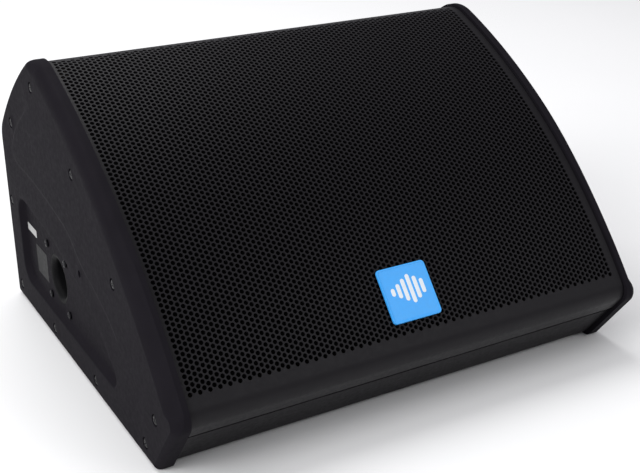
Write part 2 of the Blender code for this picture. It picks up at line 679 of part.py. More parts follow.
def handle(plastic, rubber):
    """Moulded tub with a curved rim, and the grip bar across it."""
    frame = handle_frame()
    reach = math.degrees((HANDLE_Y / 2 + HANDLE_RIM) / REAR_R)
    low, high = HANDLE_ANGLE - reach, min(HANDLE_ANGLE + reach, REAR_END)
    rim_in, rim_out = TOP_INSET - GAP, TOP_INSET - 2.8 * MM
    rim = curve(rim_out, low, high) + curve(rim_in, low, high)[::-1]
    wide = HANDLE_X / 2 + HANDLE_RIM
    cup = prism("handle_cup", rim, -wide, wide, plastic)
    half_x, half_y = HANDLE_X / 2, HANDLE_Y / 2
    wall = HANDLE_WALL
    add(cup, box("add_tub", (-half_x - wall, -half_y - wall, -HANDLE_DEPTH - wall),
                 (half_x + wall, half_y + wall, 1.2 * MM), None, frame))
    cut(cup, box("cut_tub", (-half_x, -half_y, -HANDLE_DEPTH), (half_x, half_y, 20 * MM), None, frame))
    side = half_x - GAP
    across = frame @ Matrix.Translation((0, GRIP_SHIFT, -GRIP_R - 2 * MM)) @ Matrix.Rotation(math.pi / 2, 4, "Y")
    profile = ((0, -side), (GRIP_R * 0.8, -side), (GRIP_R, -side * 0.8), (GRIP_R, side * 0.8),
               (GRIP_R * 0.8, side), (0, side))
    turned("handle_grip", profile, rubber, across, 20)


# ---------------------------------------------------------------- amplifier

def amp_plate(mat, cutters):
    """Panel plate with its studs; the connectors' and controls' cutters open it."""
    plate = box("amp_plate", (-PLATE_X, PLATE_BACK, PLATE_LOW), (PLATE_X, PLATE_Y, PLATE_HIGH), mat)
    spots = [(x * MM, -z * MM) for x in (-140, -2, 12, 140) for z in (44, 146)]
    frame = facing(0, PLATE_BACK, 0, (0, 1, 0))
    add(plate, rods("add_studs", spots, 3 * MM, -STUD, MM, 8, frame))
    for tool in cutters:
        cut(plate, tool)
    return plate


def at_panel(x, z):
    """Frame on the amplifier plate's outer face, +Z out to the rear."""
    return facing(x, PLATE_Y, z, (0, 1, 0))


def heatsink(mat):
    """Finned extrusion set into the plate from behind."""
    back, front, tip = PLATE_BACK - 8 * MM, PLATE_BACK - GAP, PANEL_Y - 2 * MM
    low_x, high_x = SINK_X - SINK_HALF_X, SINK_X + SINK_HALF_X
    low_z, high_z = 95 * MM - SINK_HALF_Z, 95 * MM + SINK_HALF_Z
    sink = box("heatsink", (low_x, back, low_z), (high_x, front, high_z), mat)
    inset, fin = 6 * MM, 2 * MM
    first, last = low_x + inset, high_x - inset - fin
    spans = []
    for i in range(FINS):
        x = first + (last - first) * i / (FINS - 1)
        spans.append(((x, front - MM, low_z + inset), (x + fin, tip, high_z - inset)))
    add(sink, boxes("add_fins", spans))
    rim = inset - 2 * MM
    return box("cut_sink_window", (low_x + rim, back, low_z + rim), (high_x - rim, REAR, high_z - rim))


def control(name, x, knob_mat, pot_mat):
    """Potentiometer behind the plate and the knob that turns on it."""
    frame = at_panel(x, CONTROL_Z)
    behind = -PLATE_THICK - GAP
    pot = box(f"{name}_pot", (-POT_SIZE, -POT_SIZE, behind - POT_DEPTH), (POT_SIZE, POT_SIZE, behind), pot_mat, frame)
    cut(pot, rods(f"cut_{name}_shaft", [(0, 0)], SHAFT_R + GAP, behind - 7 * MM, 20 * MM, 16, frame))
    low = 0.4 * MM
    profile = ((0, low + KNOB_H), (KNOB_R * 0.72, low + KNOB_H), (KNOB_R * 0.82, low + KNOB_H - MM),
               (KNOB_R, low + MM), (KNOB_R, low), (SHAFT_R, low), (SHAFT_R, behind - 6 * MM),
               (0, behind - 6 * MM))
    knob = turned(f"{name}_knob", profile, knob_mat, frame, 18)
    cut(knob, box(f"cut_{name}_pointer", (-0.5 * MM, 1.5 * MM, low + KNOB_H - 0.6 * MM),
                  (0.5 * MM, KNOB_R, low + KNOB_H + MM), None, frame))
    joint_frame(f"{name}_axis", frame)
    return bpy.data.objects[f"cut_{name}_shaft"]


def xlr(name, x, mat, socket):
    """Panel connector: a plate outside and a round shell behind it."""
    frame = at_panel(x, CONTROL_Z)
    profile = [(0, -XLR_DEPTH), (XLR_R, -XLR_DEPTH), (XLR_R, GAP + MM), (XLR_BORE_R, GAP + MM),
               (XLR_BORE_R, -14 * MM)]
    if socket:
        profile += [(7.4 * MM, -14 * MM), (7.4 * MM, -1.5 * MM), (3.4 * MM, -1.5 * MM),
                    (3.4 * MM, -20 * MM), (0, -20 * MM)]
    else:
        profile += [(0, -14 * MM)]
    shell = turned(name, profile, mat, frame, 20)
    half_x, half_z = XLR_PLATE_X, XLR_PLATE_Z
    plate = box(f"add_{name}_plate", (-half_x, -half_z, GAP), (half_x, half_z, GAP + XLR_PLATE_THICK), None,
                frame)
    cut(plate, rods(f"cut_{name}_bore", [(0, 0)], XLR_BORE_R + 0.6 * MM, -5 * MM, 5 * MM, 20, frame))
    add(shell, plate)
    if not socket:
        pins = [(3.9 * MM * math.cos(math.radians(a)), 3.9 * MM * math.sin(math.radians(a)))
                for a in (0, 180, 90)]
        add(shell, rods(f"add_{name}_pins", pins, 1.2 * MM, -15 * MM, -2 * MM, 10, frame))
    window = rods(f"cut_{name}_window", [(0, 0)], XLR_R + 2 * GAP, -30 * MM, 10 * MM, 20, frame)
    return window


def xlr_latch(mat):
    """Release tab above the input's socket; its stem slides in a slot of the connector's plate."""
    frame = facing(INPUT_X, PLATE_Y + GAP + XLR_PLATE_THICK, CONTROL_Z + 13.4 * MM, (0, 1, 0))
    travel = 1.5 * MM
    head, stem, side = 3.5 * MM, 1.2 * MM, 0.8 * MM
    low = travel + GAP
    tab = box("xlr_latch", (-head, -1.7 * MM, low), (head, 1.7 * MM, low + 2 * MM), mat, frame)
    add(tab, box("add_latch_stem", (-stem, -side, -0.2 * MM), (stem, side, low + MM), None, frame))
    cut(bpy.data.objects["xlr_input"], box("cut_latch_slot", (-stem - GAP, -side - GAP, -3 * MM),
                                           (stem + GAP, side + GAP, 3 * MM), None, frame))
    joint_frame("xlr_latch_axis", frame)


def power_switch(plastic, dark):
    """Rocker switch: a snap-in frame and the rocker that tips about X."""
    frame = at_panel(SWITCH_X, MAINS_Z)
    half_x, half_z = 7 * MM, 11 * MM
    deep = -20 * MM
    body = box("switch_frame", (-half_x - 2 * MM, -half_z - 2 * MM, GAP), (half_x + 2 * MM, half_z + 2 * MM, 2 * MM),
               plastic, frame)
    add(body, box("add_switch_body", (-half_x, -half_z, deep), (half_x, half_z, MM), None, frame))
    cut(body, box("cut_switch_well", (-half_x + 1.2 * MM, -half_z + 1.2 * MM, -9 * MM),
                  (half_x - 1.2 * MM, half_z - 1.2 * MM, 5 * MM), None, frame))
    pivot = frame @ Matrix.Translation((0, 0, -1.5 * MM))
    joint_frame("rocker_axis", pivot)
    reach, wide = half_z - 2.2 * MM, half_x - 1.8 * MM
    outline = (Vector((-reach, 1.6 * MM)), Vector((-reach * 0.92, -4 * MM)), Vector((reach * 0.92, -4 * MM)),
               Vector((reach, 1.6 * MM)), Vector((reach * 0.97, 5.2 * MM)), Vector((0, 2.6 * MM)),
               Vector((-reach * 0.97, 3.0 * MM)))
    prism("power_rocker", outline, -wide, wide, dark, pivot)
    return box("cut_switch_window", (-half_x - GAP, -half_z - GAP, -30 * MM),
               (half_x + GAP, half_z + GAP, 10 * MM), None, frame)


def mains_inlet(mat):
    """Three-pin mains inlet; the cord isn't part of the object."""
    frame = at_panel(INLET_X, MAINS_Z)
    half_x, half_z = 14 * MM, 10 * MM
    body = box("mains_inlet", (-half_x - 3 * MM, -half_z - 3 * MM, GAP), (half_x + 3 * MM, half_z + 3 * MM, 2.2 * MM),
               mat, frame)
    add(body, box("add_inlet_body", (-half_x, -half_z, -19 * MM), (half_x, half_z, MM), None, frame))
    cut(body, box("cut_inlet_well", (-12.2 * MM, -8.2 * MM, -16 * MM), (12.2 * MM, 8.2 * MM, 5 * MM), None, frame))
    spans = []
    for x, y in ((-7, 0.5), (0, -2.5), (7, 0.5)):
        spans.append((((x - 1) * MM, (y - 2) * MM, -17 * MM), ((x + 1) * MM, (y + 2) * MM, -2 * MM)))
    add(body, boxes("add_inlet_pins", spans, None, frame))
    return box("cut_inlet_window", (-half_x - GAP, -half_z - GAP, -30 * MM),
               (half_x + GAP, half_z + GAP, 10 * MM), None, frame)


def small_controls(dark, lens):
    """Push button and power light."""
    frame = at_panel(BUTTON_X, SECOND_Z)
    radius = 3.2 * MM
    profile = ((0, 4.4 * MM), (radius * 0.85, 4.4 * MM), (radius, 3.8 * MM), (radius, -7 * MM), (0, -7 * MM))
    turned("ground_lift_button", profile, dark, frame, 16)
    joint_frame("button_axis", frame)
    collar = box("button_switch", (-6 * MM, -6 * MM, -18 * MM), (6 * MM, 6 * MM, -PLATE_THICK - GAP), dark, frame)
    cut(collar, rods("cut_button", [(0, 0)], radius + GAP, -13 * MM, 9 * MM, 16, frame))
    light = at_panel(LED_X, SECOND_Z)
    profile = ((0, 2.4 * MM), (1.4 * MM, 1.9 * MM), (2 * MM, 0.6 * MM), (2 * MM, -6 * MM), (0, -6 * MM))
    turned("power_light", profile, lens, light, 14)
    hole = rods("cut_light", [(0, 0)], 2 * MM + GAP, -13 * MM, 9 * MM, 14, light)
    return [bpy.data.objects["cut_button"], hole]


def boards(green):
    """Amplifier and power supply boards on the plate's studs, each with its larger parts."""
    y = PLATE_BACK - STUD - GAP
    thick = 1.6 * MM
    low, high = 40 * MM, 150 * MM
    amp = box("amp_board", (-146 * MM, y - thick, low), (4 * MM, y, high), green)
    power = box("power_board", (8 * MM, y - thick, low), (146 * MM, y, high), green)
    back = y - thick + 0.2 * MM
    amp_blocks = (((-130, 60), (-95, 130), 16), ((-80, 100), (-55, 125), 24), ((-40, 60), (-12, 88), 20))
    power_blocks = (((24, 58), (74, 108), 34), ((92, 60), (112, 80), 30), ((116, 60), (136, 80), 30),
                    ((92, 100), (136, 128), 18))
    for board, blocks in ((amp, amp_blocks), (power, power_blocks)):
        spans = [((a[0] * MM, back - tall * MM, a[1] * MM), (b[0] * MM, back, b[1] * MM)) for a, b, tall in blocks]
        add(board, boxes(f"add_{board.name}_parts", spans))


# ---------------------------------------------------------------- the whole wedge

def main():
    for obj in list(bpy.data.objects):
        bpy.data.objects.remove(obj, do_unlink=True)
    cap_plastic = material("cap_plastic", (0.022, 0.020, 0.023), 0.5)
    plywood = material("plywood", (0.35, 0.24, 0.14), 0.7)
    paint = material("cabinet_paint", (0.014, 0.013, 0.015), 0.6)
    grille_paint = material("grille_paint", (0.010, 0.010, 0.011), 0.45)
    foam = material("foam", (0.006, 0.006, 0.006), 0.95)
    blue = material("badge_blue", (0.06, 0.38, 0.80), 0.35)
    screw_steel = material("screw_black", (0.03, 0.03, 0.032), 0.35, 0.8)
    steel = material("motor_steel", (0.45, 0.45, 0.46), 0.4, 0.9)
    ferrite = material("ferrite", (0.04, 0.04, 0.04), 0.7)
    paper = material("cone_paper", (0.03, 0.03, 0.03), 0.85)
    rubber = material("rubber", (0.02, 0.02, 0.02), 0.8)
    cloth = material("spider_cloth", (0.55, 0.42, 0.20), 0.9)
    copper = material("copper", (0.72, 0.32, 0.16), 0.35, 0.9)
    plastic = material("black_plastic", (0.018, 0.018, 0.018), 0.45)
    aluminium = material("aluminium", (0.55, 0.55, 0.56), 0.4, 0.9)
    board_green = material("board_green", (0.02, 0.18, 0.06), 0.5)
    lens = material("light_lens", (0.05, 0.5, 0.1), 0.2)

    for side in (-1, 1):
        side_cap(side, cap_plastic)
        side_panel(side, plywood)
    for i, spot in enumerate(CAP_SCREWS):
        cap_screw(f"cap_screw_{i + 1:02d}", place(*spot), screw_steel)
    flat_panels(paint)
    top_rear_panel(paint)
    grille(grille_paint, foam)
    badge(blue)

    frame = driver_frame()
    baffle(plywood, plastic, frame)
    basket(steel, frame)
    driver((steel, ferrite, paper, rubber, cloth, copper, plastic), frame)

    pole_cup(plastic, screw_steel)
    handle(plastic, rubber)

    cutters = [heatsink(aluminium)]
    cutters += [control(name, x, plastic, steel) for name, x in KNOBS]
    cutters.append(xlr("xlr_input", INPUT_X, plastic, True))
    cutters.append(xlr("xlr_output", OUTPUT_X, plastic, False))
    xlr_latch(steel)
    cutters.append(power_switch(plastic, rubber))
    cutters.append(mains_inlet(plastic))
    cutters += small_controls(plastic, lens)
    amp_plate(paint, cutters)
    boards(board_green)


main()
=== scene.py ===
"""Looks of an active stage monitor wedge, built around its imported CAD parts. Metres, +Z up, front at -Y.

The cabinet's side outline is a chain of arcs, given by the angle of the outward normal in degrees: 0 is the
rear, 90 up, 180 the front and 270 down. Spots on the side face are (forward, height): millimetres forward of
the rear face and millimetres above the floor.
"""
import math

import bmesh
import bpy
import numpy as np
from mathutils import Matrix, Vector, noise
from mathutils.geometry import delaunay_2d_cdt


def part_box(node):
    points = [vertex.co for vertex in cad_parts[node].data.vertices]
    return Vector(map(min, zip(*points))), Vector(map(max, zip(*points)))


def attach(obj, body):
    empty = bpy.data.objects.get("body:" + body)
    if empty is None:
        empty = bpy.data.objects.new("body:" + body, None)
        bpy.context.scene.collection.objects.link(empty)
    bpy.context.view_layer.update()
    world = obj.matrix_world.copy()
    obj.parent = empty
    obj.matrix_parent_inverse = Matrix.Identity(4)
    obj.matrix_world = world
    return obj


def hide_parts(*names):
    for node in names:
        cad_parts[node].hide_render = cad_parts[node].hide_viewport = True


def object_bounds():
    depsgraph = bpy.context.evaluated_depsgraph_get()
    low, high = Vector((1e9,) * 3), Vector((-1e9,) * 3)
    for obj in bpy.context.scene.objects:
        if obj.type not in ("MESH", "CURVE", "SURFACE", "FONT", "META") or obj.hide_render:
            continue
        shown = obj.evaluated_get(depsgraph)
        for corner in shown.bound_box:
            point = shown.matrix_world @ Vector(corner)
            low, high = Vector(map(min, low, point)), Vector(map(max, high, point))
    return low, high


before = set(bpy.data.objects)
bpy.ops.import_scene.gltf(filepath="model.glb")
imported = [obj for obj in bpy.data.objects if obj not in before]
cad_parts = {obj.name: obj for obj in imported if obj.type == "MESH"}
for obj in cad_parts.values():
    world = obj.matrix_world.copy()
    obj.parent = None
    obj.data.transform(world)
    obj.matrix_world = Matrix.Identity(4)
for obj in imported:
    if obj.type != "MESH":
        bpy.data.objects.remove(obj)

MM = 0.001
SQUARE = ((-1, -1), (1, -1), (1, 1), (-1, 1))
CAD_LOW, CAD_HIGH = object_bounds()
WIDTH = CAD_HIGH.x - CAD_LOW.x
REAR = CAD_HIGH.y

# ---- the cabinet's outline, as in the CAD ----
REAR_FLAT_TOP = 173 * MM
SHOULDER_R, SHOULDER_END = 32 * MM, 43.5
REAR_R, REAR_END = 455 * MM, 60.5
CROWN_R, CROWN_END = 41 * MM, 111.5
FRONT_R, FRONT_END = 634 * MM, 142.7
NOSE_R, CHAMFER_ANGLE = 15 * MM, 216.5
TOE_R, HEEL_R = 8 * MM, 6 * MM

# ---- end caps ----
CAP_THICK, CAP_SPACING, CAP_SHARP = 15 * MM, 5 * MM, 24
CAP_FRONT_ROUND, CAP_NOSE_ROUND, CAP_SMALL_ROUND = 16 * MM, 10.5 * MM, 5.5 * MM
CAP_ROUND_DEPTH, FACE_MARGIN = 10 * MM, 0.4 * MM
ROUND_FROM, ROUND_TO = 60, 95                           # where the small round grows to the front one
BEVEL_FROM, BEVEL_TO, BEVEL_SHARE, BEVEL_FADE = 124, 138, 0.6, 30   # angles, flat share, fading angle
POCKET = ((38, 33, 20), (322, 33, 11), (243, 89, 30), (150, 116, 40), (38, 126, 20))   # spots with radii
POCKET_DEPTH = 6.5 * MM
POCKET_WALL = ((2.6, 0), (1.6, 0.1), (0.9, 0.4), (0.4, 0.95), (-2.2, 5.4), (-2.9, 6.05), (-3.9, 6.4),
               (-5.2, 6.5))                             # millimetres out from the outline, depth
LOW_WALL_SLOPE = 0.8                                    # how much gentler the pocket's lower wall is
COUNTERBORE = ((5.6, 0), (5.25, 0.35), (5.2, 2.8), (2.3, 2.8), (2.3, CAP_THICK / MM))   # radius, depth
INSERT_BORE = ((3.5, 0), (3.05, 0.4), (3.0, 8))
CAP_SCREWS = ((126, 257), (44, 201), (224, 206), (14.5, 110), (309, 139),
              (18, 16), (126, 13), (242, 14), (360, 16), (385, 52))
INSERT_HOLE = (222, 112)
CUP_CENTRE, CUP_BORE_R, CUP_RIM_R, CUP_GAP = (134.5, 69), 18.3 * MM, 24.5 * MM, 0.35 * MM
CUP_BODY_R, CUP_FLANGE_R, CUP_WALL, CUP_FLANGE_GAP = 21 * MM, 32 * MM, 3 * MM, 0.3 * MM
CREASE = ((117, 237), (72, 207), (50, 187), (42, 170), (54, 163), (106, 160), (191, 146.5), (227, 126),
          (263, 113), (289, 102), (321, 82))
CREASE_DEPTH, CREASE_WIDTH, CREASE_FADE, CREASE_END = 0.9 * MM, 4 * MM, 38 * MM, 30 * MM
CREASE_SPACING = 2 * MM
CREASE_ROWS = (-1.0, 0.0, 1.0, 2.0, 3.0, 4.5)           # rows of vertices, millimetres off the crease
NET_PITCH, NET_CLEARANCE, EDGE_CLEARANCE = 7 * MM, 3.5 * MM, 1.6 * MM

# ---- grille ----
GRILLE_INSET, GRILLE_THICK, GRILLE_X = 2.8 * MM, 1.5 * MM, 221.5 * MM
GRILLE_TOP, GRILLE_NOSE_R, GRILLE_CHAMFER_INSET, GRILLE_LIP = 79.0, 15 * MM, 3 * MM, 15 * MM
HOLE_PITCH, HOLE_R, HOLE_SIDES, HOLE_COLUMNS = 4.95 * MM, 1.98 * MM, 12, 101
PATTERN_X, TOP_MARGIN, LAST_ROW = -2.7 * MM, 9 * MM, 141.5   # the last row of holes by its normal's angle
BAND_STEP = 1.25 * MM
FOAM_DEPTH, FOAM_THICK, FOAM_END = 2.6 * MM, 3 * MM, 12 * MM
FOAM_ROUGH, FOAM_LUMP, FOAM_NET = 0.25 * MM, 4 * MM, (120, 80)

# ---- badge ----
BADGE_ANGLE, BADGE_X, BADGE_HALF, BADGE_CORNER = 138.5, PATTERN_X, 24.6 * MM, 3.5 * MM
BADGE_LIFT = 1.2 * MM
BADGE_LEVELS = ((0, -1.0), (0, 0.55), (0.15, 0.85), (0.45, 1.0), (1.6, 1.0), (1.9, 0.8), (2.2, 0.8))
BAR_LEVELS = ((0, 0.7), (0, 0.9), (0.12, 1.0))
BARS = ((-15, 7), (-9, 13), (-3, 20), (3, 26), (9, 20), (15, 13))   # millimetres across, length
BAR_WIDTH, BAR_CORNER, BAR_UP = 3.8, 1.85, 2.5

# ---- screws and rear panel ----
SCREW_SHARP, CAP_SCREW_DEPTH, CUP_SCREW_DEPTH = 38, 2.5 * MM, 0.3 * MM
PLATE_SCREW_X, PLATE_SCREW_Z = 19 * MM, 18.5 * MM       # in from the amplifier plate's edges
KNOB_SIDES, FLUTES, FLUTE_DEPTH, KNOB_LIFT, SHAFT_R = 96, 16, 0.045, 0.4 * MM, 3 * MM
POINTER_HALF, POINTER_FROM, POINTER_TO = 0.6 * MM, 0.12, 0.76
TICKS, TICK_SWEEP, TICK_FROM, TICK_LONG, TICK_SHORT, TICK_HALF = 11, 300, 9.6, 2.4, 1.6, 0.3

# ---- camera and light ----
FOCAL_LENGTH, AZIMUTH, ELEVATION, EYE = 64.61, -29.914, 23.833, (-0.5081, -0.9048, 0.5507)
AIM = Vector((0, 0, 0.12))
FLOOR_HALF, WORLD_STRENGTH = 6.0, 0.4
# name, place, side of the square, watts
LAMPS = (("key", (-2.3, -0.8, 1.8), 1.4, 48), ("front", (1.3, -2.2, 1.9), 1.2, 14),
         ("top", (-0.3, 1.4, 2.8), 2.4, 66))


# ---------------------------------------------------------------- outline

def normal(angle):
    return Vector((math.cos(math.radians(angle)), math.sin(math.radians(angle))))


def arc_chain():
    """The chain above the floor, rear to nose: (centre, radius, first angle, last angle)."""
    arcs = []
    point, angle = Vector((REAR, REAR_FLAT_TOP)), 0.0
    for radius, end in ((SHOULDER_R, SHOULDER_END), (REAR_R, REAR_END), (CROWN_R, CROWN_END),
                        (FRONT_R, FRONT_END), (NOSE_R, CHAMFER_ANGLE)):
        centre = point - radius * normal(angle)
        arcs.append((centre, radius, angle, end))
        point, angle = centre + radius * normal(end), end
    return arcs


ARCS = arc_chain()
CHAMFER = ARCS[4][0].dot(normal(CHAMFER_ANGLE)) + NOSE_R


def chamfer_y(inset, z):
    n = normal(CHAMFER_ANGLE)
    return (CHAMFER - inset - n.y * z) / n.x


def place(forward, up):
    """Side-face position (y, z) from millimetres forward of the rear face and millimetres up."""
    return Vector((REAR - forward * MM, up * MM))


def smooth(x):
    x = min(1.0, max(0.0, x))
    return x * x * (3 - 2 * x)


def walk(first, last, spacing):
    """Points from first, not reaching last, about this far apart."""
    count = max(1, round((last - first).length / spacing))
    return [first.lerp(last, i / count) for i in range(count)]


def arc_angles(radius, first, last, spacing, step=6.0):
    turn = last - first
    count = max(1, math.ceil(math.radians(turn) * radius / spacing), math.ceil(turn / step))
    return [first + turn * i / count for i in range(count)]


def cap_stations(spacing):
    """(point, normal angle) all round the cap's outline, the toe, floor, heel and rear edge included."""
    toe = Vector((chamfer_y(TOE_R, TOE_R), TOE_R))
    heel = Vector((REAR - HEEL_R, HEEL_R))
    arcs = ARCS + [(toe, TOE_R, CHAMFER_ANGLE, 270.0), (heel, HEEL_R, 270.0, 360.0)]
    stations = []
    for i, (centre, radius, first, last) in enumerate(arcs):
        stations += [(centre + radius * normal(a), a) for a in arc_angles(radius, first, last, spacing)]
        end = centre + radius * normal(last)
        following = arcs[(i + 1) % len(arcs)]
        start = following[0] + following[1] * normal(following[2])
        if (start - end).length > 1e-5:
            stations += [(p, last) for p in walk(end, start, spacing)]
    return stations


def rounded(corners, spacing, arc_step=9.0):
    """(point, outward direction) round an outline of (x, y, radius) corners, in order."""
    arcs = []
    for i, (x, y, radius) in enumerate(corners):
        corner = Vector((x, y))
        before = (Vector(corners[i - 1][:2]) - corner).normalized()
        after = (Vector(corners[(i + 1) % len(corners)][:2]) - corner).normalized()
        half = before.angle(after) / 2
        centre = corner + (before + after).normalized() * radius / math.sin(half)
        start = corner + before * radius / math.tan(half) - centre
        end = corner + after * radius / math.tan(half) - centre
        turn = start.angle_signed(end)
        count = max(2, math.ceil(abs(math.degrees(turn)) / arc_step))
        arcs.append([(centre, Matrix.Rotation(-turn * k / count, 2) @ start) for k in range(count + 1)])
    stations = []
    for i, arc in enumerate(arcs):
        stations += [(c + r, r.normalized()) for c, r in arc]
        (c, r), (c2, r2) = arc[-1], arcs[(i + 1) % len(arcs)][0]
        stations += [(p, r.normalized()) for p in walk(c + r, c2 + r2, spacing)[1:]]
    return stations


# ---------------------------------------------------------------- mesh tools

class Shell:
    """Vertices and faces of a mesh in the making."""

    def __init__(self):
        self.verts, self.faces, self.slots = [], [], []

    def ring(self, points):
        start = len(self.verts)
        self.verts += [tuple(p) for p in points]
        return list(range(start, len(self.verts)))

    def face(self, corners, slot=0):
        self.faces.append(tuple(corners))
        self.slots.append(slot)

    def bridge(self, a, b, slot=0, closed=True):
        count = len(a) if closed else len(a) - 1
        for i in range(count):
            j = (i + 1) % len(a)
            self.face((a[i], a[j], b[j], b[i]), slot)

    def bridges(self, rings, slot=0):
        for a, b in zip(rings, rings[1:]):
            self.bridge(a, b, slot)

    def slab(self, where, outline, levels, slot=0):
        """Closed slab from a rounded outline, through levels of (inset, height) in millimetres."""
        rings = [self.ring(lifted(where, [p - n * inset * MM for p, n in outline], height * MM))
                 for inset, height in levels]
        self.bridges(rings, slot)
        self.face(rings[0], slot)
        self.face(rings[-1], slot)

    def fill(self, outer, holes, extra, flat, lift):
        """Triangles between closed loops of vertex numbers, with extra (2D) points in the area.

        flat gives a vertex's two coordinates, and lift the vertex of an extra point."""
        loops = [outer] + holes
        inner = self.ring([lift(p) for p in extra])
        numbers = [n for loop in loops for n in loop] + inner
        where = [Vector(flat(self.verts[n])) for n in numbers]
        edges, start = [], 0
        for loop in loops:
            edges += [(start + i, start + (i + 1) % len(loop)) for i in range(len(loop))]
            start += len(loop)
        _, _, triangles, origin, _, _ = delaunay_2d_cdt(where, edges, [], 0, 1e-9)
        outlines = [np.array([flat(self.verts[n]) for n in loop]) for loop in loops]
        corners = np.array([[origin[i][0] for i in t] for t in triangles])
        centres = np.array([(w.x, w.y) for w in where])[corners].mean(1)
        keep = inside(centres, outlines[0])
        for hole in outlines[1:]:
            keep &= ~inside(centres, hole)
        for t in corners[keep]:
            self.face([numbers[i] for i in t])

    def build(self, name, materials, sharp=35.0):
        mesh = bpy.data.meshes.new(name)
        mesh.from_pydata(self.verts, [], self.faces)
        for mat in materials:
            mesh.materials.append(mat)
        if any(self.slots):
            mesh.polygons.foreach_set("material_index", self.slots)
        return finished(mesh, name, sharp)


def inside(points, outline):
    """Which of the points are inside a closed outline."""
    x, y = points[:, 0], points[:, 1]
    found = np.zeros(len(points), bool)
    previous = outline[-1]
    for corner in outline:
        crosses = (corner[1] > y) != (previous[1] > y)
        if crosses.any():
            at = (previous[0] - corner[0]) * (y - corner[1]) / (previous[1] - corner[1] + 1e-30) + corner[0]
            found ^= crosses & (x < at)
        previous = corner
    return found


def finished(mesh, name, sharp=35.0):
    """Object from a mesh, with outward faces, smooth but for edges over the sharp angle."""
    bm = bmesh.new()
    bm.from_mesh(mesh)
    bmesh.ops.recalc_face_normals(bm, faces=bm.faces)
    bm.to_mesh(mesh)
    bm.free()
    mesh.shade_smooth()
    mesh.set_sharp_from_angle(angle=math.radians(sharp))
    obj = bpy.data.objects.new(name, mesh)
    bpy.context.scene.collection.objects.link(obj)
    return obj


def put(obj, body, slot, *nodes):
    """Attach a piece to its body and hide the CAD nodes it stands for, if any."""
    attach(obj, body)
    if nodes:
        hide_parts(*nodes)
    return obj


def circle(centre, radius, count):
    return [centre + radius * normal(360.0 * i / count) for i in range(count)]


def lifted(where, points, height):
    """Flat points of a frame's own plane, raised to a height over it."""
    return [where @ Vector((*p, height)) for p in points]


def turned(name, profile, count, material, where=Matrix.Identity(4)):
    """Turn a (radius, height) profile about local Z; both its ends lie on the axis."""
    shell = Shell()
    axis = Vector((0, 0))
    rings = [shell.ring(lifted(where, circle(axis, radius, count) if radius else [axis], height))
             for radius, height in profile]
    for a, b in zip(rings, rings[1:]):
        if len(a) == len(b):
            shell.bridge(a, b)
        else:
            tip, loop = (a[0], b) if len(a) == 1 else (b[0], a)
            for i in range(count):
                shell.face((tip, loop[i], loop[(i + 1) % count]))
    return shell.build(name, [material])


def facing(x, y, z, towards):
    """Frame at a point with local +Z along a direction and local +X close to the world's X or -Z."""
    direction = Vector(towards).normalized()
    side = Vector((1, 0, 0)) if abs(direction.x) < 0.5 else Vector((0, 0, -1))
    up = direction.cross(side)
    basis = Matrix((side, up, direction)).transposed().to_4x4()
    return Matrix.Translation((x, y, z)) @ basis


# ---------------------------------------------------------------- materials

class Paint:
    """A Principled material in the making, with its texture coordinates."""

    def __init__(self, name, color, roughness, metallic=0.0, shine=0.5):
        self.material = bpy.data.materials.new(name)
        self.material.use_nodes = True
        self.tree = self.material.node_tree
        self.shader = self.tree.nodes["Principled BSDF"]
        self.shader.inputs["Base Color"].default_value = (*color, 1.0)
        self.shader.inputs["Roughness"].default_value = roughness
        self.shader.inputs["Metallic"].default_value = metallic
        self.shader.inputs["Specular IOR Level"].default_value = shine
        self.coords = self.node("ShaderNodeTexCoord").outputs["Object"]
        self.color, self.roughness = color, roughness

    def node(self, kind, **settings):
        made = self.tree.nodes.new(kind)
        for key, value in settings.items():
            setattr(made, key, value)
        return made

    def link(self, a, b):
        self.tree.links.new(a, b)

    def noise(self, scale, detail=4.0, roughness=0.55, stretch=None):
        """Noise value at this many features per metre."""
        made = self.node("ShaderNodeTexNoise")
        made.inputs["Scale"].default_value = scale
        made.inputs["Detail"].default_value = detail
        made.inputs["Roughness"].default_value = roughness
        source = self.coords
        if stretch:
            mapping = self.node("ShaderNodeMapping")
            mapping.inputs["Scale"].default_value = stretch
            self.link(self.coords, mapping.inputs["Vector"])
            source = mapping.outputs["Vector"]
        self.link(source, made.inputs["Vector"])
        return made.outputs["Fac"]

    def cells(self, scale, feature="F1"):
        made = self.node("ShaderNodeTexVoronoi", feature=feature)
        made.inputs["Scale"].default_value = scale
        self.link(self.coords, made.inputs["Vector"])
        return made.outputs["Distance"]

    def spread(self, value, low, high, out_low, out_high):
        """Map a value's range onto another, held at both ends."""
        made = self.node("ShaderNodeMapRange")
        limits = {"From Min": low, "From Max": high, "To Min": out_low, "To Max": out_high}
        for key, number in limits.items():
            made.inputs[key].default_value = number
        self.link(value, made.inputs["Value"])
        return made.outputs["Result"]

    def tint(self, value, low, high):
        """Base colour from low to high times the material's own, by a value from 0 to 1."""
        ramp = self.node("ShaderNodeValToRGB")
        for stop, gain in zip(ramp.color_ramp.elements, (low, high)):
            stop.color = (*[c * gain for c in self.color], 1.0)
        self.link(value, ramp.inputs["Fac"])
        self.link(ramp.outputs["Color"], self.shader.inputs["Base Color"])

    def vary_roughness(self, value, change):
        self.link(self.spread(value, 0.3, 0.7, self.roughness - change, self.roughness + change),
                  self.shader.inputs["Roughness"])

    def bump(self, *layers):
        """Bump layers of (value, depth in metres)."""
        previous = None
        for value, depth in layers:
            made = self.node("ShaderNodeBump")
            made.inputs["Strength"].default_value = 1.0
            made.inputs["Distance"].default_value = depth
            self.link(value, made.inputs["Height"])
            if previous is not None:
                self.link(previous, made.inputs["Normal"])
            previous = made.outputs["Normal"]
        self.link(previous, self.shader.inputs["Normal"])


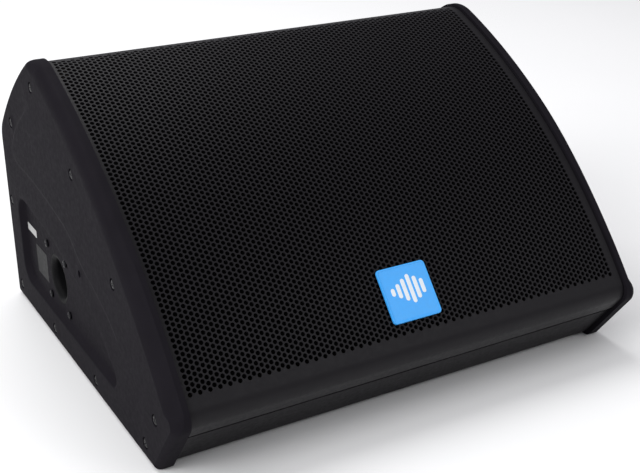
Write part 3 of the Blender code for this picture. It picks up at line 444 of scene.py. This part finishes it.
def moulded(name, color, roughness, shine=0.2):
    """Moulded plastic: fine spark-eroded grain over a slow mottle."""
    paint = Paint(name, color, roughness, shine=shine)
    mottle = paint.noise(35, 3)
    paint.tint(mottle, 0.85, 1.15)
    paint.vary_roughness(paint.noise(220, 3), 0.06)
    paint.bump((paint.noise(1400, 2, 0.7), 0.05 * MM), (mottle, 0.2 * MM))
    return paint.material


def coated(name, color, roughness, metallic=0.0, scale=900, depth=0.06 * MM, shine=0.2):
    """Powder coat or textured paint: small rounded bumps."""
    paint = Paint(name, color, roughness, metallic, shine)
    paint.tint(paint.noise(60, 3), 0.85, 1.15)
    paint.vary_roughness(paint.noise(300, 2), 0.05)
    paint.bump((paint.cells(scale, "SMOOTH_F1"), depth), (paint.noise(scale * 0.3, 2), depth))
    return paint.material


def metal(name, color, roughness, stretch=(1, 1, 1)):
    """Bare or plated metal with a faint grain along one axis."""
    paint = Paint(name, color, roughness, 1.0)
    grain = paint.noise(600, 3, 0.6, stretch)
    paint.tint(grain, 0.85, 1.1)
    paint.vary_roughness(grain, 0.08)
    paint.bump((grain, 0.01 * MM))
    return paint.material


def timber(name, color):
    """Plywood stained dark: long grain along X."""
    paint = Paint(name, color, 0.7, shine=0.1)
    grain = paint.noise(90, 5, 0.6, (0.15, 1, 1))
    paint.tint(grain, 0.7, 1.25)
    paint.vary_roughness(grain, 0.08)
    paint.bump((grain, 0.08 * MM))
    return paint.material


def cloth(name, color, roughness, scale, depth):
    """Open-cell foam or coarse cloth: deep small cells."""
    paint = Paint(name, color, roughness, shine=0.05)
    cells = paint.cells(scale)
    paint.tint(cells, 0.5, 1.6)
    paint.vary_roughness(cells, 0.03)
    paint.bump((cells, depth), (paint.noise(scale * 0.25, 3), depth))
    return paint.material


def gloss(name, color, roughness, shine=0.4):
    """Smooth plastic or lacquer with a faint orange peel."""
    paint = Paint(name, color, roughness, shine=shine)
    peel = paint.noise(260, 2)
    paint.tint(peel, 0.94, 1.06)
    paint.vary_roughness(peel, 0.04)
    paint.bump((peel, 0.02 * MM))
    return paint.material


CAP_PLASTIC = moulded("cap_plastic", (0.0112, 0.0100, 0.0128), 0.62, 0.02)
PLYWOOD = timber("stained_plywood", (0.022, 0.018, 0.014))
CABINET_PAINT = coated("cabinet_paint", (0.0070, 0.0062, 0.0078), 0.55, scale=700, depth=0.12 * MM,
                       shine=0.15)
GRILLE_PAINT = coated("grille_powder_coat", (0.0078, 0.0070, 0.0086), 0.48, scale=1500, depth=0.03 * MM,
                      shine=0.16)
FOAM = cloth("acoustic_foam", (0.002, 0.002, 0.002), 0.95, 900, 0.4 * MM)
BADGE_BLUE = gloss("badge_blue", (0.050, 0.37, 0.88), 0.35)
BADGE_WHITE = gloss("badge_white", (0.75, 0.80, 0.84), 0.4)
LABEL_WHITE = gloss("label_white", (0.42, 0.42, 0.41), 0.5)
PRINT = gloss("white_print", (0.62, 0.62, 0.62), 0.55)
LABEL_DARK = gloss("rating_label", (0.0060, 0.0060, 0.0066), 0.5, 0.12)
SCREW_BLACK = metal("screw_black_zinc", (0.016, 0.016, 0.018), 0.45)
STEEL = metal("zinc_steel", (0.52, 0.52, 0.53), 0.34)
BLACK_PLASTIC = moulded("black_plastic", (0.012, 0.012, 0.013), 0.42)
CUP_PLASTIC = moulded("cup_plastic", (0.0035, 0.0035, 0.0040), 0.6, 0.08)
CAST_ALLOY = coated("cast_basket", (0.03, 0.03, 0.032), 0.5, 0.6)
RUBBER = moulded("rubber", (0.012, 0.012, 0.012), 0.75)
CONE_PAPER = cloth("cone_paper", (0.02, 0.02, 0.02), 0.85, 500, 0.15 * MM)
SPIDER_CLOTH = cloth("spider_cloth", (0.5, 0.38, 0.18), 0.85, 900, 0.2 * MM)
COIL_WIRE = metal("coil_wire", (0.8, 0.38, 0.2), 0.3, (1, 1, 12))
FERRITE = coated("ferrite", (0.03, 0.03, 0.032), 0.6)
BOARD = gloss("solder_mask", (0.012, 0.11, 0.04), 0.35)
HEATSINK = coated("black_anodised", (0.02, 0.02, 0.022), 0.4, 0.7)
KNOB_PLASTIC = moulded("knob_plastic", (0.02, 0.02, 0.021), 0.38)
ROCKER = gloss("rocker_plastic", (0.012, 0.012, 0.012), 0.2)
LENS = gloss("light_lens", (0.05, 0.55, 0.12), 0.12)

NODE_MATERIALS = {
    "bottom_panel": CABINET_PAINT, "front_sill": CABINET_PAINT, "rear_panel": CABINET_PAINT,
    "top_rear_panel": CABINET_PAINT, "left_side_panel": PLYWOOD, "right_side_panel": PLYWOOD,
    "baffle_board": PLYWOOD, "woofer_basket": CAST_ALLOY, "woofer_surround": RUBBER,
    "woofer_cone": CONE_PAPER, "voice_coil": COIL_WIRE, "woofer_spider": SPIDER_CLOTH,
    "woofer_magnet": FERRITE, "magnet_front_plate": STEEL, "magnet_back_plate": STEEL,
    "coax_horn": BLACK_PLASTIC, "hf_driver": BLACK_PLASTIC, "left_port": BLACK_PLASTIC,
    "right_port": BLACK_PLASTIC, "pole_cup": BLACK_PLASTIC, "handle_cup": BLACK_PLASTIC,
    "handle_grip": RUBBER, "amp_plate": CABINET_PAINT, "heatsink": HEATSINK, "amp_board": BOARD,
    "power_board": BOARD, "mains_inlet": BLACK_PLASTIC, "switch_frame": BLACK_PLASTIC,
    "power_rocker": ROCKER, "xlr_input": BLACK_PLASTIC, "xlr_output": BLACK_PLASTIC, "xlr_latch": STEEL,
    "volume_pot": STEEL, "low_pot": STEEL, "high_pot": STEEL, "ground_lift_button": KNOB_PLASTIC,
    "button_switch": BLACK_PLASTIC, "power_light": LENS,
}


# ---------------------------------------------------------------- end caps

def round_size(angle):
    """How far the cap's edge round reaches in from the outline."""
    if ROUND_TO < angle < FRONT_END:
        return CAP_FRONT_ROUND
    if FRONT_END <= angle <= CHAMFER_ANGLE:
        share = (angle - FRONT_END) / (CHAMFER_ANGLE - FRONT_END)
        return CAP_NOSE_ROUND + (CAP_SMALL_ROUND - CAP_NOSE_ROUND) * share
    share = smooth((angle - ROUND_FROM) / (ROUND_TO - ROUND_FROM)) if angle <= ROUND_TO else 0
    return CAP_SMALL_ROUND + (CAP_FRONT_ROUND - CAP_SMALL_ROUND) * share


def bevel_share(angle):
    """How far the cap's edge goes from a round (0) to a flat bevel (1), as it does towards the toe."""
    return (BEVEL_SHARE * smooth((angle - BEVEL_FROM) / (BEVEL_TO - BEVEL_FROM))
            * (1 - smooth((angle - CHAMFER_ANGLE) / BEVEL_FADE)))


def crease_line():
    """Points close together on a smooth curve through the crease's points."""
    knots = [place(*p) for p in CREASE]
    knots = [2 * knots[0] - knots[1]] + knots + [2 * knots[-1] - knots[-2]]
    points = []
    for a, b, c, d in zip(knots, knots[1:], knots[2:], knots[3:]):
        count = max(2, round((c - b).length / CREASE_SPACING))
        for i in range(count):
            t = i / count
            points.append(0.5 * ((2 * b) + (c - a) * t + (2 * a - 5 * b + 4 * c - d) * t * t
                                 + (3 * b - a - 3 * c + d) * t ** 3))
    return points


CREASE_POINTS = np.array([tuple(p) for p in crease_line()])
CREASE_STEPS = np.gradient(CREASE_POINTS, axis=0)
CREASE_STEPS /= np.linalg.norm(CREASE_STEPS, axis=1)[:, None]


def sunk(y, z):
    """How far the cap's face lies under its highest level: a shallow step along the crease."""
    gaps = CREASE_POINTS - (y, z)
    lengths = np.linalg.norm(gaps, axis=1)
    i = int(lengths.argmin())
    step = CREASE_STEPS[i]
    across = -(step[0] * gaps[i][1] - step[1] * gaps[i][0])
    if across <= 0:
        return 0.0
    from_end = min(i, len(CREASE_POINTS) - 1 - i) * CREASE_SPACING
    return (CREASE_DEPTH * smooth(across / CREASE_WIDTH) * (1 - smooth(across / CREASE_FADE))
            * smooth(from_end / CREASE_END))


def cap_fill_points(loops):
    """Points for the cap's face: a coarse net, closer along the crease, clear of every loop."""
    edges = np.concatenate([np.array(loop) for loop in loops])
    low, high = edges.min(0), edges.max(0)
    row = NET_PITCH * 0.866
    net = np.array([(low[0] + (i + 0.5 * (j % 2)) * NET_PITCH, low[1] + j * row)
                    for j in range(int((high[1] - low[1]) / row) + 1)
                    for i in range(int((high[0] - low[0]) / NET_PITCH) + 1)])
    across = np.stack([-CREASE_STEPS[:, 1], CREASE_STEPS[:, 0]], axis=1)
    near = np.concatenate([CREASE_POINTS + across * offset * MM for offset in CREASE_ROWS])
    gap = np.linalg.norm(net[:, None] - near[None], axis=2).min(1)
    wanted = np.concatenate([near, net[gap > NET_CLEARANCE]])
    wanted = wanted[np.linalg.norm(wanted[:, None] - edges[None], axis=2).min(1) > EDGE_CLEARANCE]
    keep = inside(wanted, np.array(loops[0]))
    for loop in loops[1:]:
        keep &= ~inside(wanted, np.array(loop))
    return [tuple(p) for p in wanted[keep]]


def cap_edge(shell, at):
    """Rings over the cap's soft edge; returns the first, at its back, and the last, at its face."""
    stations = cap_stations(CAP_SPACING)
    rings = [shell.ring([at(p, CAP_THICK) for p, _ in stations])]
    for turn in range(0, 91, 9):
        a = math.radians(turn)
        ring = []
        for point, angle in stations:
            size, bevel = round_size(angle), bevel_share(angle)
            inset = size * ((1 - bevel) * (1 - math.cos(a)) + bevel * turn / 90)
            height = (1 - bevel) * math.sin(a) + bevel * turn / 90
            ring.append(at(point - inset * normal(angle), min(size, CAP_ROUND_DEPTH) * (1 - height)))
        rings.append(shell.ring(ring))
    rings.append(shell.ring([at(p - (round_size(a) + FACE_MARGIN) * normal(a), 0) for p, a in stations]))
    shell.bridges(rings)
    return rings[0], rings[-1]


def pocket_wall(shell, at):
    """Rings down the pocket's wall; returns the first, at its rim, and the last, on its floor."""
    outline = rounded([(*place(f, z), r * MM) for f, z, r in POCKET], 6 * MM)
    rings = []
    for grow, depth in POCKET_WALL:
        ring = []
        for point, outward in outline:
            shift = grow if grow > 0 else grow * (1 + LOW_WALL_SLOPE * max(0.0, -outward.y))
            ring.append(at(point + outward * shift * MM, depth * MM))
        rings.append(shell.ring(ring))
    shell.bridges(rings)
    return rings[0], rings[-1]


def side_cap(side):
    """Moulded end cap: soft front edge, shallow pocket, crease, counterbores and a blind insert hole."""
    name = "left" if side < 0 else "right"
    shell = Shell()

    def at(point, depth):
        return (side * (WIDTH / 2 - depth), point[0], point[1])

    def flat(vertex):
        return (vertex[1], vertex[2])

    back, front = cap_edge(shell, at)
    pocket_rim, pocket_floor = pocket_wall(shell, at)
    holes, back_holes = [pocket_rim], []
    for spot, profile in [(spot, COUNTERBORE) for spot in CAP_SCREWS] + [(INSERT_HOLE, INSERT_BORE)]:
        bore = [shell.ring([at(p, depth * MM) for p in circle(place(*spot), radius * MM, 20)])
                for radius, depth in profile]
        shell.bridges(bore)
        holes.append(bore[0])
        if profile is COUNTERBORE:
            back_holes.append(bore[-1])
        else:
            shell.face(bore[-1])

    net = cap_fill_points([[flat(shell.verts[n]) for n in loop] for loop in [front] + holes])
    shell.fill(front, holes, net, flat, lambda p: at(p, sunk(*p)))
    floor_holes = []
    if side < 0:
        seat = place(*CUP_CENTRE)
        neck = [shell.ring([at(p, depth) for p in circle(seat, CUP_RIM_R + CUP_GAP, 72)])
                for depth in (POCKET_DEPTH, CAP_THICK)]
        shell.bridges(neck)
        floor_holes.append(neck[0])
        back_holes.append(neck[1])
    shell.fill(pocket_floor, floor_holes, [], flat, None)
    shell.fill(back, back_holes, [], flat, None)
    cap = shell.build(f"{name}_cap_shell", [CAP_PLASTIC], CAP_SHARP)
    put(cap, "cabinet", "cap_plastic", f"{name}_side_cap")


# ---------------------------------------------------------------- grille and foam

def grille_path():
    """The grille's outer curve as arcs (centre, radius, first, last); a straight lip follows them."""
    crown, front = ARCS[2][0], ARCS[3][0]
    to_centre = FRONT_R - GRILLE_INSET - GRILLE_NOSE_R
    reach = CHAMFER - GRILLE_CHAMFER_INSET - GRILLE_NOSE_R - front.dot(normal(CHAMFER_ANGLE))
    nose = CHAMFER_ANGLE - math.degrees(math.acos(reach / to_centre))
    return [(crown, CROWN_R - GRILLE_INSET, GRILLE_TOP, CROWN_END),
            (front, FRONT_R - GRILLE_INSET, CROWN_END, nose),
            (front + to_centre * normal(nose), GRILLE_NOSE_R, nose, CHAMFER_ANGLE)]


PATH = grille_path()
PATH_LENGTHS = [math.radians(last - first) * radius for _, radius, first, last in PATH]


def along_grille(s, depth):
    """(y, z) arrays at distances s along the grille's outer face, this deep under it."""
    s = np.asarray(s, float)
    y, z = np.zeros_like(s), np.zeros_like(s)
    start = 0.0
    for (centre, radius, first, last), length in zip(PATH, PATH_LENGTHS):
        here = (s >= start - 1e-9) & (s <= start + length + 1e-9)
        angle = np.radians(first + (s[here] - start) / length * (last - first))
        y[here] = centre.x + (radius - depth) * np.cos(angle)
        z[here] = centre.y + (radius - depth) * np.sin(angle)
        start += length
    beyond = s > start
    end_n, lip = normal(CHAMFER_ANGLE), normal(CHAMFER_ANGLE + 90)
    base = PATH[-1][0] + (GRILLE_NOSE_R - depth) * end_n
    y[beyond] = base.x + (s[beyond] - start) * lip.x
    z[beyond] = base.y + (s[beyond] - start) * lip.y
    return y, z


def hole_cells():
    """Hexagonal cells round the holes, in (across, along) coordinates, and where the pattern ends."""
    end = PATH_LENGTHS[0] + math.radians(LAST_ROW - CROWN_END) * (FRONT_R - GRILLE_INSET)
    across_pitch = HOLE_PITCH * math.sqrt(3) / 2
    rows = int((end - TOP_MARGIN) / HOLE_PITCH)
    centres = []
    for k in range(HOLE_COLUMNS):
        x = PATTERN_X + (k - (HOLE_COLUMNS - 1) / 2) * across_pitch
        odd = k % 2
        centres += [(x, end - (j + 0.5 * odd) * HOLE_PITCH) for j in range(rows + 1 - odd)]
    return np.array(centres), end + HOLE_PITCH, end - (rows + 1) * HOLE_PITCH


def open_loop(cells):
    """The loop of vertices round a net of cells, along the edges that only one cell has."""
    edges = np.stack([cells, np.roll(cells, -1, axis=1)], axis=2).reshape(-1, 2)
    _, which, uses = np.unique(np.sort(edges, axis=1), axis=0, return_index=True, return_counts=True)
    step = {int(a): int(b) for a, b in edges[which[uses == 1]]}
    loop = [next(iter(step))]
    while step[loop[-1]] != loop[0]:
        loop.append(step[loop[-1]])
    return loop


def between(points, inner, outer, spare):
    """Triangles between two loops of a flat net's vertices, through its spare ones."""
    used = inner + outer + spare
    rims = [(i, (i + 1) % len(inner)) for i in range(len(inner))]
    rims += [(len(inner) + i, len(inner) + (i + 1) % len(outer)) for i in range(len(outer))]
    where = [Vector(points[n]) for n in used]
    _, _, triangles, origin, _, _ = delaunay_2d_cdt(where, rims, [], 0, 1e-9)
    triangles = np.array([[used[origin[i][0]] for i in t] for t in triangles])
    return triangles[~inside(points[triangles].mean(1), points[inner])]


def perforated_grille():
    """Bent steel sheet with round holes on a hexagonal pattern and a plain border."""
    centres, low_edge, high_edge = hole_cells()
    turn = np.radians(360.0 / HOLE_SIDES) * np.arange(HOLE_SIDES)
    reach = np.where(np.arange(HOLE_SIDES) % 2 == 0, HOLE_PITCH / math.sqrt(3), HOLE_PITCH / 2)
    cell = np.stack([reach * np.cos(turn), reach * np.sin(turn)], axis=1)
    hole = HOLE_R * np.stack([np.cos(turn), np.sin(turn)], axis=1)
    corners = (centres[:, None] + cell[None]).reshape(-1, 2)
    _, first, shared = np.unique(np.round(corners / (0.01 * MM)).astype(int), axis=0, return_index=True,
                                 return_inverse=True)
    outer = shared.reshape(-1, HOLE_SIDES)
    points = [corners[first], (centres[:, None] + hole[None]).reshape(-1, 2)]
    inner = len(first) + np.arange(len(centres) * HOLE_SIDES).reshape(-1, HOLE_SIDES)
    count = len(first) + inner.size
    following = np.roll(np.arange(HOLE_SIDES), -1)
    quads = np.stack([outer, outer[:, following], inner[:, following], inner], axis=2).reshape(-1, 4)

    stop = sum(PATH_LENGTHS) + GRILLE_LIP
    across = np.linspace(-GRILLE_X, GRILLE_X, 2 * round(GRILLE_X / HOLE_PITCH) + 1)
    sides = np.linspace(0.0, low_edge, round(low_edge / (HOLE_PITCH / 2)) + 1)
    frame_points = ([(x, low_edge) for x in across] + [(GRILLE_X, s) for s in sides[::-1][1:]]
                    + [(x, 0.0) for x in across[::-1][1:]] + [(-GRILLE_X, s) for s in sides[1:-1]])
    frame_numbers = list(range(count, count + len(frame_points)))
    points.append(np.array(frame_points))
    count += len(frame_points)
    top_rows = np.linspace(0.0, high_edge, 4)[1:-1]
    spare = [(x, s) for s in top_rows for x in (across[:-1] + across[1:]) / 2]
    flat_points = np.concatenate(points + [np.array(spare)])
    spare_numbers = list(range(count, count + len(spare)))
    count += len(spare)
    triangles = between(flat_points, open_loop(outer), frame_numbers, spare_numbers)

    band = [frame_numbers[:len(across)]]
    for s in np.linspace(low_edge, stop, round((stop - low_edge) / BAND_STEP) + 1)[1:]:
        band.append(list(range(count, count + len(across))))
        flat_points = np.concatenate([flat_points, np.stack([across, np.full(len(across), s)], axis=1)])
        count += len(across)
    band = np.array(band)
    strips = np.stack([band[:-1, :-1], band[1:, :-1], band[1:, 1:], band[:-1, 1:]], axis=2).reshape(-1, 4)
    rim = frame_numbers[len(across) - 1:] + [frame_numbers[0]]
    outline = rim + band[1:, 0].tolist() + band[-1, 1:].tolist() + band[1:-1, -1][::-1].tolist()

    verts = []
    for depth in (0.0, GRILLE_THICK):
        y, z = along_grille(flat_points[:, 1], depth)
        verts.append(np.stack([flat_points[:, 0], y, z], axis=1))
    faces = [*quads.tolist(), *strips.tolist(), *triangles.tolist()]
    back = [[n + count for n in f[::-1]] for f in faces]
    walls = np.stack([inner, inner[:, following], inner[:, following] + count, inner + count], axis=2)
    edge = [[a, b, b + count, a + count] for a, b in zip(outline, outline[1:] + outline[:1])]
    faces += back + walls.reshape(-1, 4).tolist() + edge
    mesh = bpy.data.meshes.new("grille")
    mesh.from_pydata(np.concatenate(verts).tolist(), [], faces)
    mesh.materials.append(GRILLE_PAINT)
    put(finished(mesh, "perforated_grille"), "cabinet", "grille_steel", "grille")


def foam_sheet():
    """Open-cell foam behind the grille, with a slightly uneven face."""
    low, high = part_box("grille_foam")
    half = (high.x - low.x) / 2
    across = np.linspace(-half, half, FOAM_NET[0])
    first = PATH_LENGTHS[0] + FOAM_END
    last = PATH_LENGTHS[0] + PATH_LENGTHS[1] - FOAM_END
    along = np.linspace(first, last, FOAM_NET[1])
    shell = Shell()
    rows = []
    for s in along:
        row = []
        for x in across:
            rough = FOAM_ROUGH * noise.noise(Vector((x, s, 0)) / FOAM_LUMP)
            y, z = along_grille([s], FOAM_DEPTH + abs(rough))
            row.append((x, y[0], z[0]))
        rows.append(shell.ring(row))
    behind = []
    for s in along:
        y, z = along_grille([s], FOAM_DEPTH + FOAM_THICK)
        behind.append(shell.ring([(x, y[0], z[0]) for x in across]))
    for a, b in zip(rows, rows[1:]):
        shell.bridge(a, b, closed=False)
    for a, b in zip(behind, behind[1:]):
        shell.bridge(b, a, closed=False)
    shell.bridge(rows[0], behind[0], closed=False)
    shell.bridge(behind[-1], rows[-1], closed=False)
    shell.bridge([r[0] for r in rows], [r[0] for r in behind], closed=False)
    shell.bridge([r[-1] for r in behind], [r[-1] for r in rows], closed=False)
    foam = put(shell.build("foam_lining", [FOAM]), "cabinet", "acoustic_foam", "grille_foam")


# ---------------------------------------------------------------- badge

def badge():
    """Blue enamel badge with a raised white bar motif."""
    centre, radius = ARCS[3][0], ARCS[3][1]
    spot = centre + (radius - GRILLE_INSET + BADGE_LIFT) * normal(BADGE_ANGLE)
    where = facing(BADGE_X, *spot, (0, *normal(BADGE_ANGLE)))
    outline = rounded([(x * BADGE_HALF, y * BADGE_HALF, BADGE_CORNER) for x, y in SQUARE], 8 * MM, 10)
    shell = Shell()
    shell.slab(where, outline, BADGE_LEVELS)
    for x, tall in BARS:
        corners = [((x + sx * BAR_WIDTH / 2) * MM, (BAR_UP + sy * tall / 2) * MM, BAR_CORNER * MM)
                   for sx, sy in SQUARE]
        shell.slab(where, rounded(corners, 8 * MM, 15), BAR_LEVELS, 1)
    put(shell.build("enamel_badge", [BADGE_BLUE, BADGE_WHITE]), "cabinet", "badge_plastic", "badge")


# ---------------------------------------------------------------- screws

def screw_mesh(name, head_r, head_h, shank_r, length):
    """Pan head with a tapered cross recess on a plain shank, +Z outwards, its seat at 0."""
    profile = [(0, head_h)]
    for turn in range(0, 91, 15):
        a = math.radians(turn)
        profile.append((head_r * (0.45 + 0.55 * math.sin(a)), head_h * (0.42 + 0.58 * math.cos(a))))
    profile += [(head_r, head_h * 0.2), (head_r - 0.15 * MM, 0), (shank_r, 0), (shank_r, -length + 2 * MM),
                (0, -length)]
    head = turned(name, profile, 32, SCREW_BLACK)
    cutter = Shell()
    long, wide, deep = head_r * 0.62, head_r * 0.12, head_h * 0.75
    for turn in (0, 90):
        spin = Matrix.Rotation(math.radians(turn), 4, "Z")
        lower = [(x * long * 0.3, y * wide * 0.5) for x, y in SQUARE]
        upper = [(x * long, y * wide) for x, y in SQUARE]
        a = cutter.ring(lifted(spin, lower, head_h - deep))
        b = cutter.ring(lifted(spin, upper, head_h + 0.3 * MM))
        cutter.bridge(a, b)
        cutter.face(a[::-1])
        cutter.face(b)
    tool = cutter.build("recess_cutter", [])
    cut = head.modifiers.new("recess", "BOOLEAN")
    cut.object, cut.operation, cut.solver, cut.use_self = tool, "DIFFERENCE", "EXACT", True
    graph = bpy.context.evaluated_depsgraph_get()
    mesh = bpy.data.meshes.new_from_object(head.evaluated_get(graph), depsgraph=graph)
    mesh.shade_smooth()
    mesh.set_sharp_from_angle(angle=math.radians(SCREW_SHARP))
    for obj in (head, tool):
        bpy.data.objects.remove(obj)
    return mesh


def place_screw(mesh, name, where, turn, *nodes):
    obj = bpy.data.objects.new(name, mesh)
    bpy.context.scene.collection.objects.link(obj)
    obj.matrix_world = where @ Matrix.Rotation(math.radians(turn), 4, "Z")
    put(obj, "cabinet", "screw_black", *nodes)


def screws():
    cap_screw = screw_mesh("cap_screw", 4.4 * MM, 2.4 * MM, 2 * MM, 22 * MM)
    seat = WIDTH / 2 - CAP_SCREW_DEPTH
    for i, spot in enumerate(CAP_SCREWS):
        for side, name, nodes in ((-1, "left", [f"cap_screw_{i + 1:02d}"]), (1, "right", [])):
            where = facing(side * seat, *place(*spot), (side, 0, 0))
            place_screw(cap_screw, f"{name}_cap_pan_screw_{i + 1:02d}", where, 37 * i + 11, *nodes)
    cup_screw = screw_mesh("cup_screw", 3.8 * MM, 2 * MM, 2 * MM, 18 * MM)
    for i in range(4):
        low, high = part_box(f"pole_cup_screw_{i + 1}")
        middle = (low + high) / 2
        where = facing(-WIDTH / 2 + POCKET_DEPTH - CUP_SCREW_DEPTH, middle.y, middle.z, (-1, 0, 0))
        place_screw(cup_screw, f"cup_pan_screw_{i + 1}", where, 53 * i + 20, f"pole_cup_screw_{i + 1}")


def pole_cup():
    """Socket with a funnel lip flush with the pocket's floor."""
    low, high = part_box("pole_cup")
    floor = WIDTH / 2 - POCKET_DEPTH
    where = facing(-floor, (low.y + high.y) / 2, (low.z + high.z) / 2, (-1, 0, 0))
    flare = CUP_RIM_R - CUP_BORE_R
    depth = high.x + floor
    bottom = depth - CUP_WALL
    profile = [(0, -bottom), (CUP_BORE_R - MM, -bottom), (CUP_BORE_R, -bottom + MM)]
    for turn in range(180, 89, -10):
        a = math.radians(turn)
        profile.append((CUP_RIM_R + flare * math.cos(a), -flare + flare * math.sin(a)))
    back = CAP_THICK - POCKET_DEPTH + CUP_FLANGE_GAP
    profile += [(CUP_RIM_R, -back), (CUP_FLANGE_R, -back), (CUP_FLANGE_R, -back - CUP_WALL),
                (CUP_BODY_R, -back - CUP_WALL), (CUP_BODY_R, -depth), (0, -depth)]
    put(turned("pole_cup_liner", profile, 72, CUP_PLASTIC, where), "cabinet", "black_plastic", "pole_cup")


# ---------------------------------------------------------------- labels

def pocket_label(name, spot, wide, tall, mat):
    """Thin blank label on the left pocket's floor."""
    where = facing(-WIDTH / 2 + POCKET_DEPTH, *place(*spot), (-1, 0, 0))
    corners = [(x * tall / 2 * MM, y * wide / 2 * MM, 1 * MM) for x, y in SQUARE]
    shell = Shell()
    shell.slab(where, rounded(corners, 10 * MM, 20), ((0, 0.02), (0, 0.14), (0.06, 0.2)))
    put(shell.build(name, [mat]), "cabinet", "badge_plastic")


# ---------------------------------------------------------------- rear panel

def printed(shell, where, corners, low, high, slot=0):
    """Low bar with round corners and a softened top edge; low and high are in millimetres."""
    shell.slab(where, rounded(corners, 8 * MM, 20), ((0, low), (0, high - 0.05), (0.06, high)), slot)


def knob(name):
    """Fluted knob with a raised white pointer, which points up at the middle of its travel."""
    low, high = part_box(f"{name}_knob")
    radius, face = (high.x - low.x) / 2, high.y
    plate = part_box("amp_plate")[1].y
    where = facing((low.x + high.x) / 2, plate, (low.z + high.z) / 2, (0, 1, 0))
    tall, axis = face - plate, Vector((0, 0))
    flutes = [0.5 + 0.5 * math.cos(2 * math.pi * FLUTES * i / KNOB_SIDES) for i in range(KNOB_SIDES)]
    levels = ((1, KNOB_LIFT, 0), (1, 1.2 * MM, 0), (0.97, 1.5 * MM, 0.6), (0.9, tall - 1.2 * MM, 1),
              (0.85, tall - 0.4 * MM, 0.6), (0.78, tall, 0), (0.7, tall, 0), (0.66, tall - 0.25 * MM, 0))
    shell = Shell()
    rings = []
    for share, height, depth in levels:
        ring = [p * (share - FLUTE_DEPTH * depth * flute)
                for p, flute in zip(circle(axis, radius, KNOB_SIDES), flutes)]
        rings.append(shell.ring(lifted(where, ring, height)))
    shell.bridges(rings)
    shell.face(rings[-1])
    under = [shell.ring(lifted(where, circle(axis, SHAFT_R, KNOB_SIDES), height))
             for height in (KNOB_LIFT, low.y - plate)]
    shell.bridges([rings[0]] + under)
    shell.face(under[-1])
    pointer = [(x * POINTER_HALF, -radius * along, 0.5 * MM)
               for x, along in ((-1, POINTER_FROM), (1, POINTER_FROM), (1, POINTER_TO), (-1, POINTER_TO))]
    printed(shell, where, pointer, tall / MM - 0.4, tall / MM - 0.02, 1)
    made = shell.build(f"{name}_fluted_knob", [KNOB_PLASTIC, PRINT])
    put(made, f"{name}_knob", "knob_plastic", f"{name}_knob")

    scale = Shell()
    for i in range(TICKS):
        turn = math.radians(TICK_SWEEP * (i / (TICKS - 1) - 0.5))
        length = TICK_SHORT if i % (TICKS // 2) else TICK_LONG
        tick = [(x * TICK_HALF * MM, -(TICK_FROM + out) * MM, 0.25 * MM)
                for x, out in ((-1, 0), (1, 0), (1, length), (-1, length))]
        printed(scale, where @ Matrix.Rotation(turn, 4, "Z"), tick, 0.02, 0.14)
    put(scale.build(f"{name}_scale", [PRINT]), "cabinet", "badge_plastic")


def plate_screws():
    mesh = screw_mesh("plate_screw", 2.7 * MM, 1.6 * MM, 1.5 * MM, 8 * MM)
    low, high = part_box("amp_plate")
    rows = low.z + PLATE_SCREW_Z, high.z - PLATE_SCREW_Z
    for i, (x, z) in enumerate([(x, z) for z in rows for x in (-1, 1)]):
        where = facing(x * (high.x - PLATE_SCREW_X), high.y, z, (0, 1, 0))
        place_screw(mesh, f"plate_pan_screw_{i + 1}", where, 41 * i + 15)


# ---------------------------------------------------------------- carried-over CAD nodes

def dress_nodes():
    for name, mat in NODE_MATERIALS.items():
        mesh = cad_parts[name].data
        mesh.materials.clear()
        mesh.materials.append(mat)


# ---------------------------------------------------------------- scene

def studio():
    world = bpy.data.worlds.new("studio")
    bpy.context.scene.world = world
    world.use_nodes = True
    sky = world.node_tree.nodes["Background"]
    sky.inputs["Color"].default_value = (0.95, 0.95, 1.0, 1.0)
    sky.inputs["Strength"].default_value = WORLD_STRENGTH
    bpy.context.scene.view_settings.view_transform = "Standard"

    shell = Shell()
    shell.face(shell.ring([(x * FLOOR_HALF, y * FLOOR_HALF, CAD_LOW.z) for x, y in SQUARE]))
    ground = Paint("pale_floor", (0.90, 0.90, 0.90), 0.8, shine=0.1)
    ground.tint(ground.noise(3, 2), 0.99, 1.01)
    floor = shell.build("floor", [ground.material])

    for name, spot, size, power in LAMPS:
        data = bpy.data.lights.new(name, "AREA")
        data.shape, data.size, data.energy = "SQUARE", size, power
        lamp = bpy.data.objects.new(name, data)
        bpy.context.scene.collection.objects.link(lamp)
        lamp.location = spot
        lamp.visible_camera = False
        lamp.rotation_mode = "QUATERNION"
        lamp.rotation_quaternion = (AIM - Vector(spot)).to_track_quat("-Z", "Y")


def camera():
    azimuth, elevation = math.radians(AZIMUTH), math.radians(ELEVATION)
    back = Vector((math.sin(azimuth) * math.cos(elevation), -math.cos(azimuth) * math.cos(elevation),
                   math.sin(elevation)))
    data = bpy.data.cameras.new("camera")
    data.sensor_width, data.lens = 36.0, FOCAL_LENGTH
    eye = bpy.data.objects.new("camera", data)
    bpy.context.scene.collection.objects.link(eye)
    eye.location = EYE
    eye.rotation_mode = "QUATERNION"
    eye.rotation_quaternion = (-back).to_track_quat("-Z", "Y")
    bpy.context.scene.camera = eye


camera()
studio()
dress_nodes()
for side in (-1, 1):
    side_cap(side)
perforated_grille()
foam_sheet()
badge()
screws()
pole_cup()
pocket_label("serial_label", (57, 91), 28, 8, LABEL_WHITE)
pocket_label("rating_plate", (83, 65), 34, 30, LABEL_DARK)
for control in ("volume", "low", "high"):
    knob(control)
plate_screws()
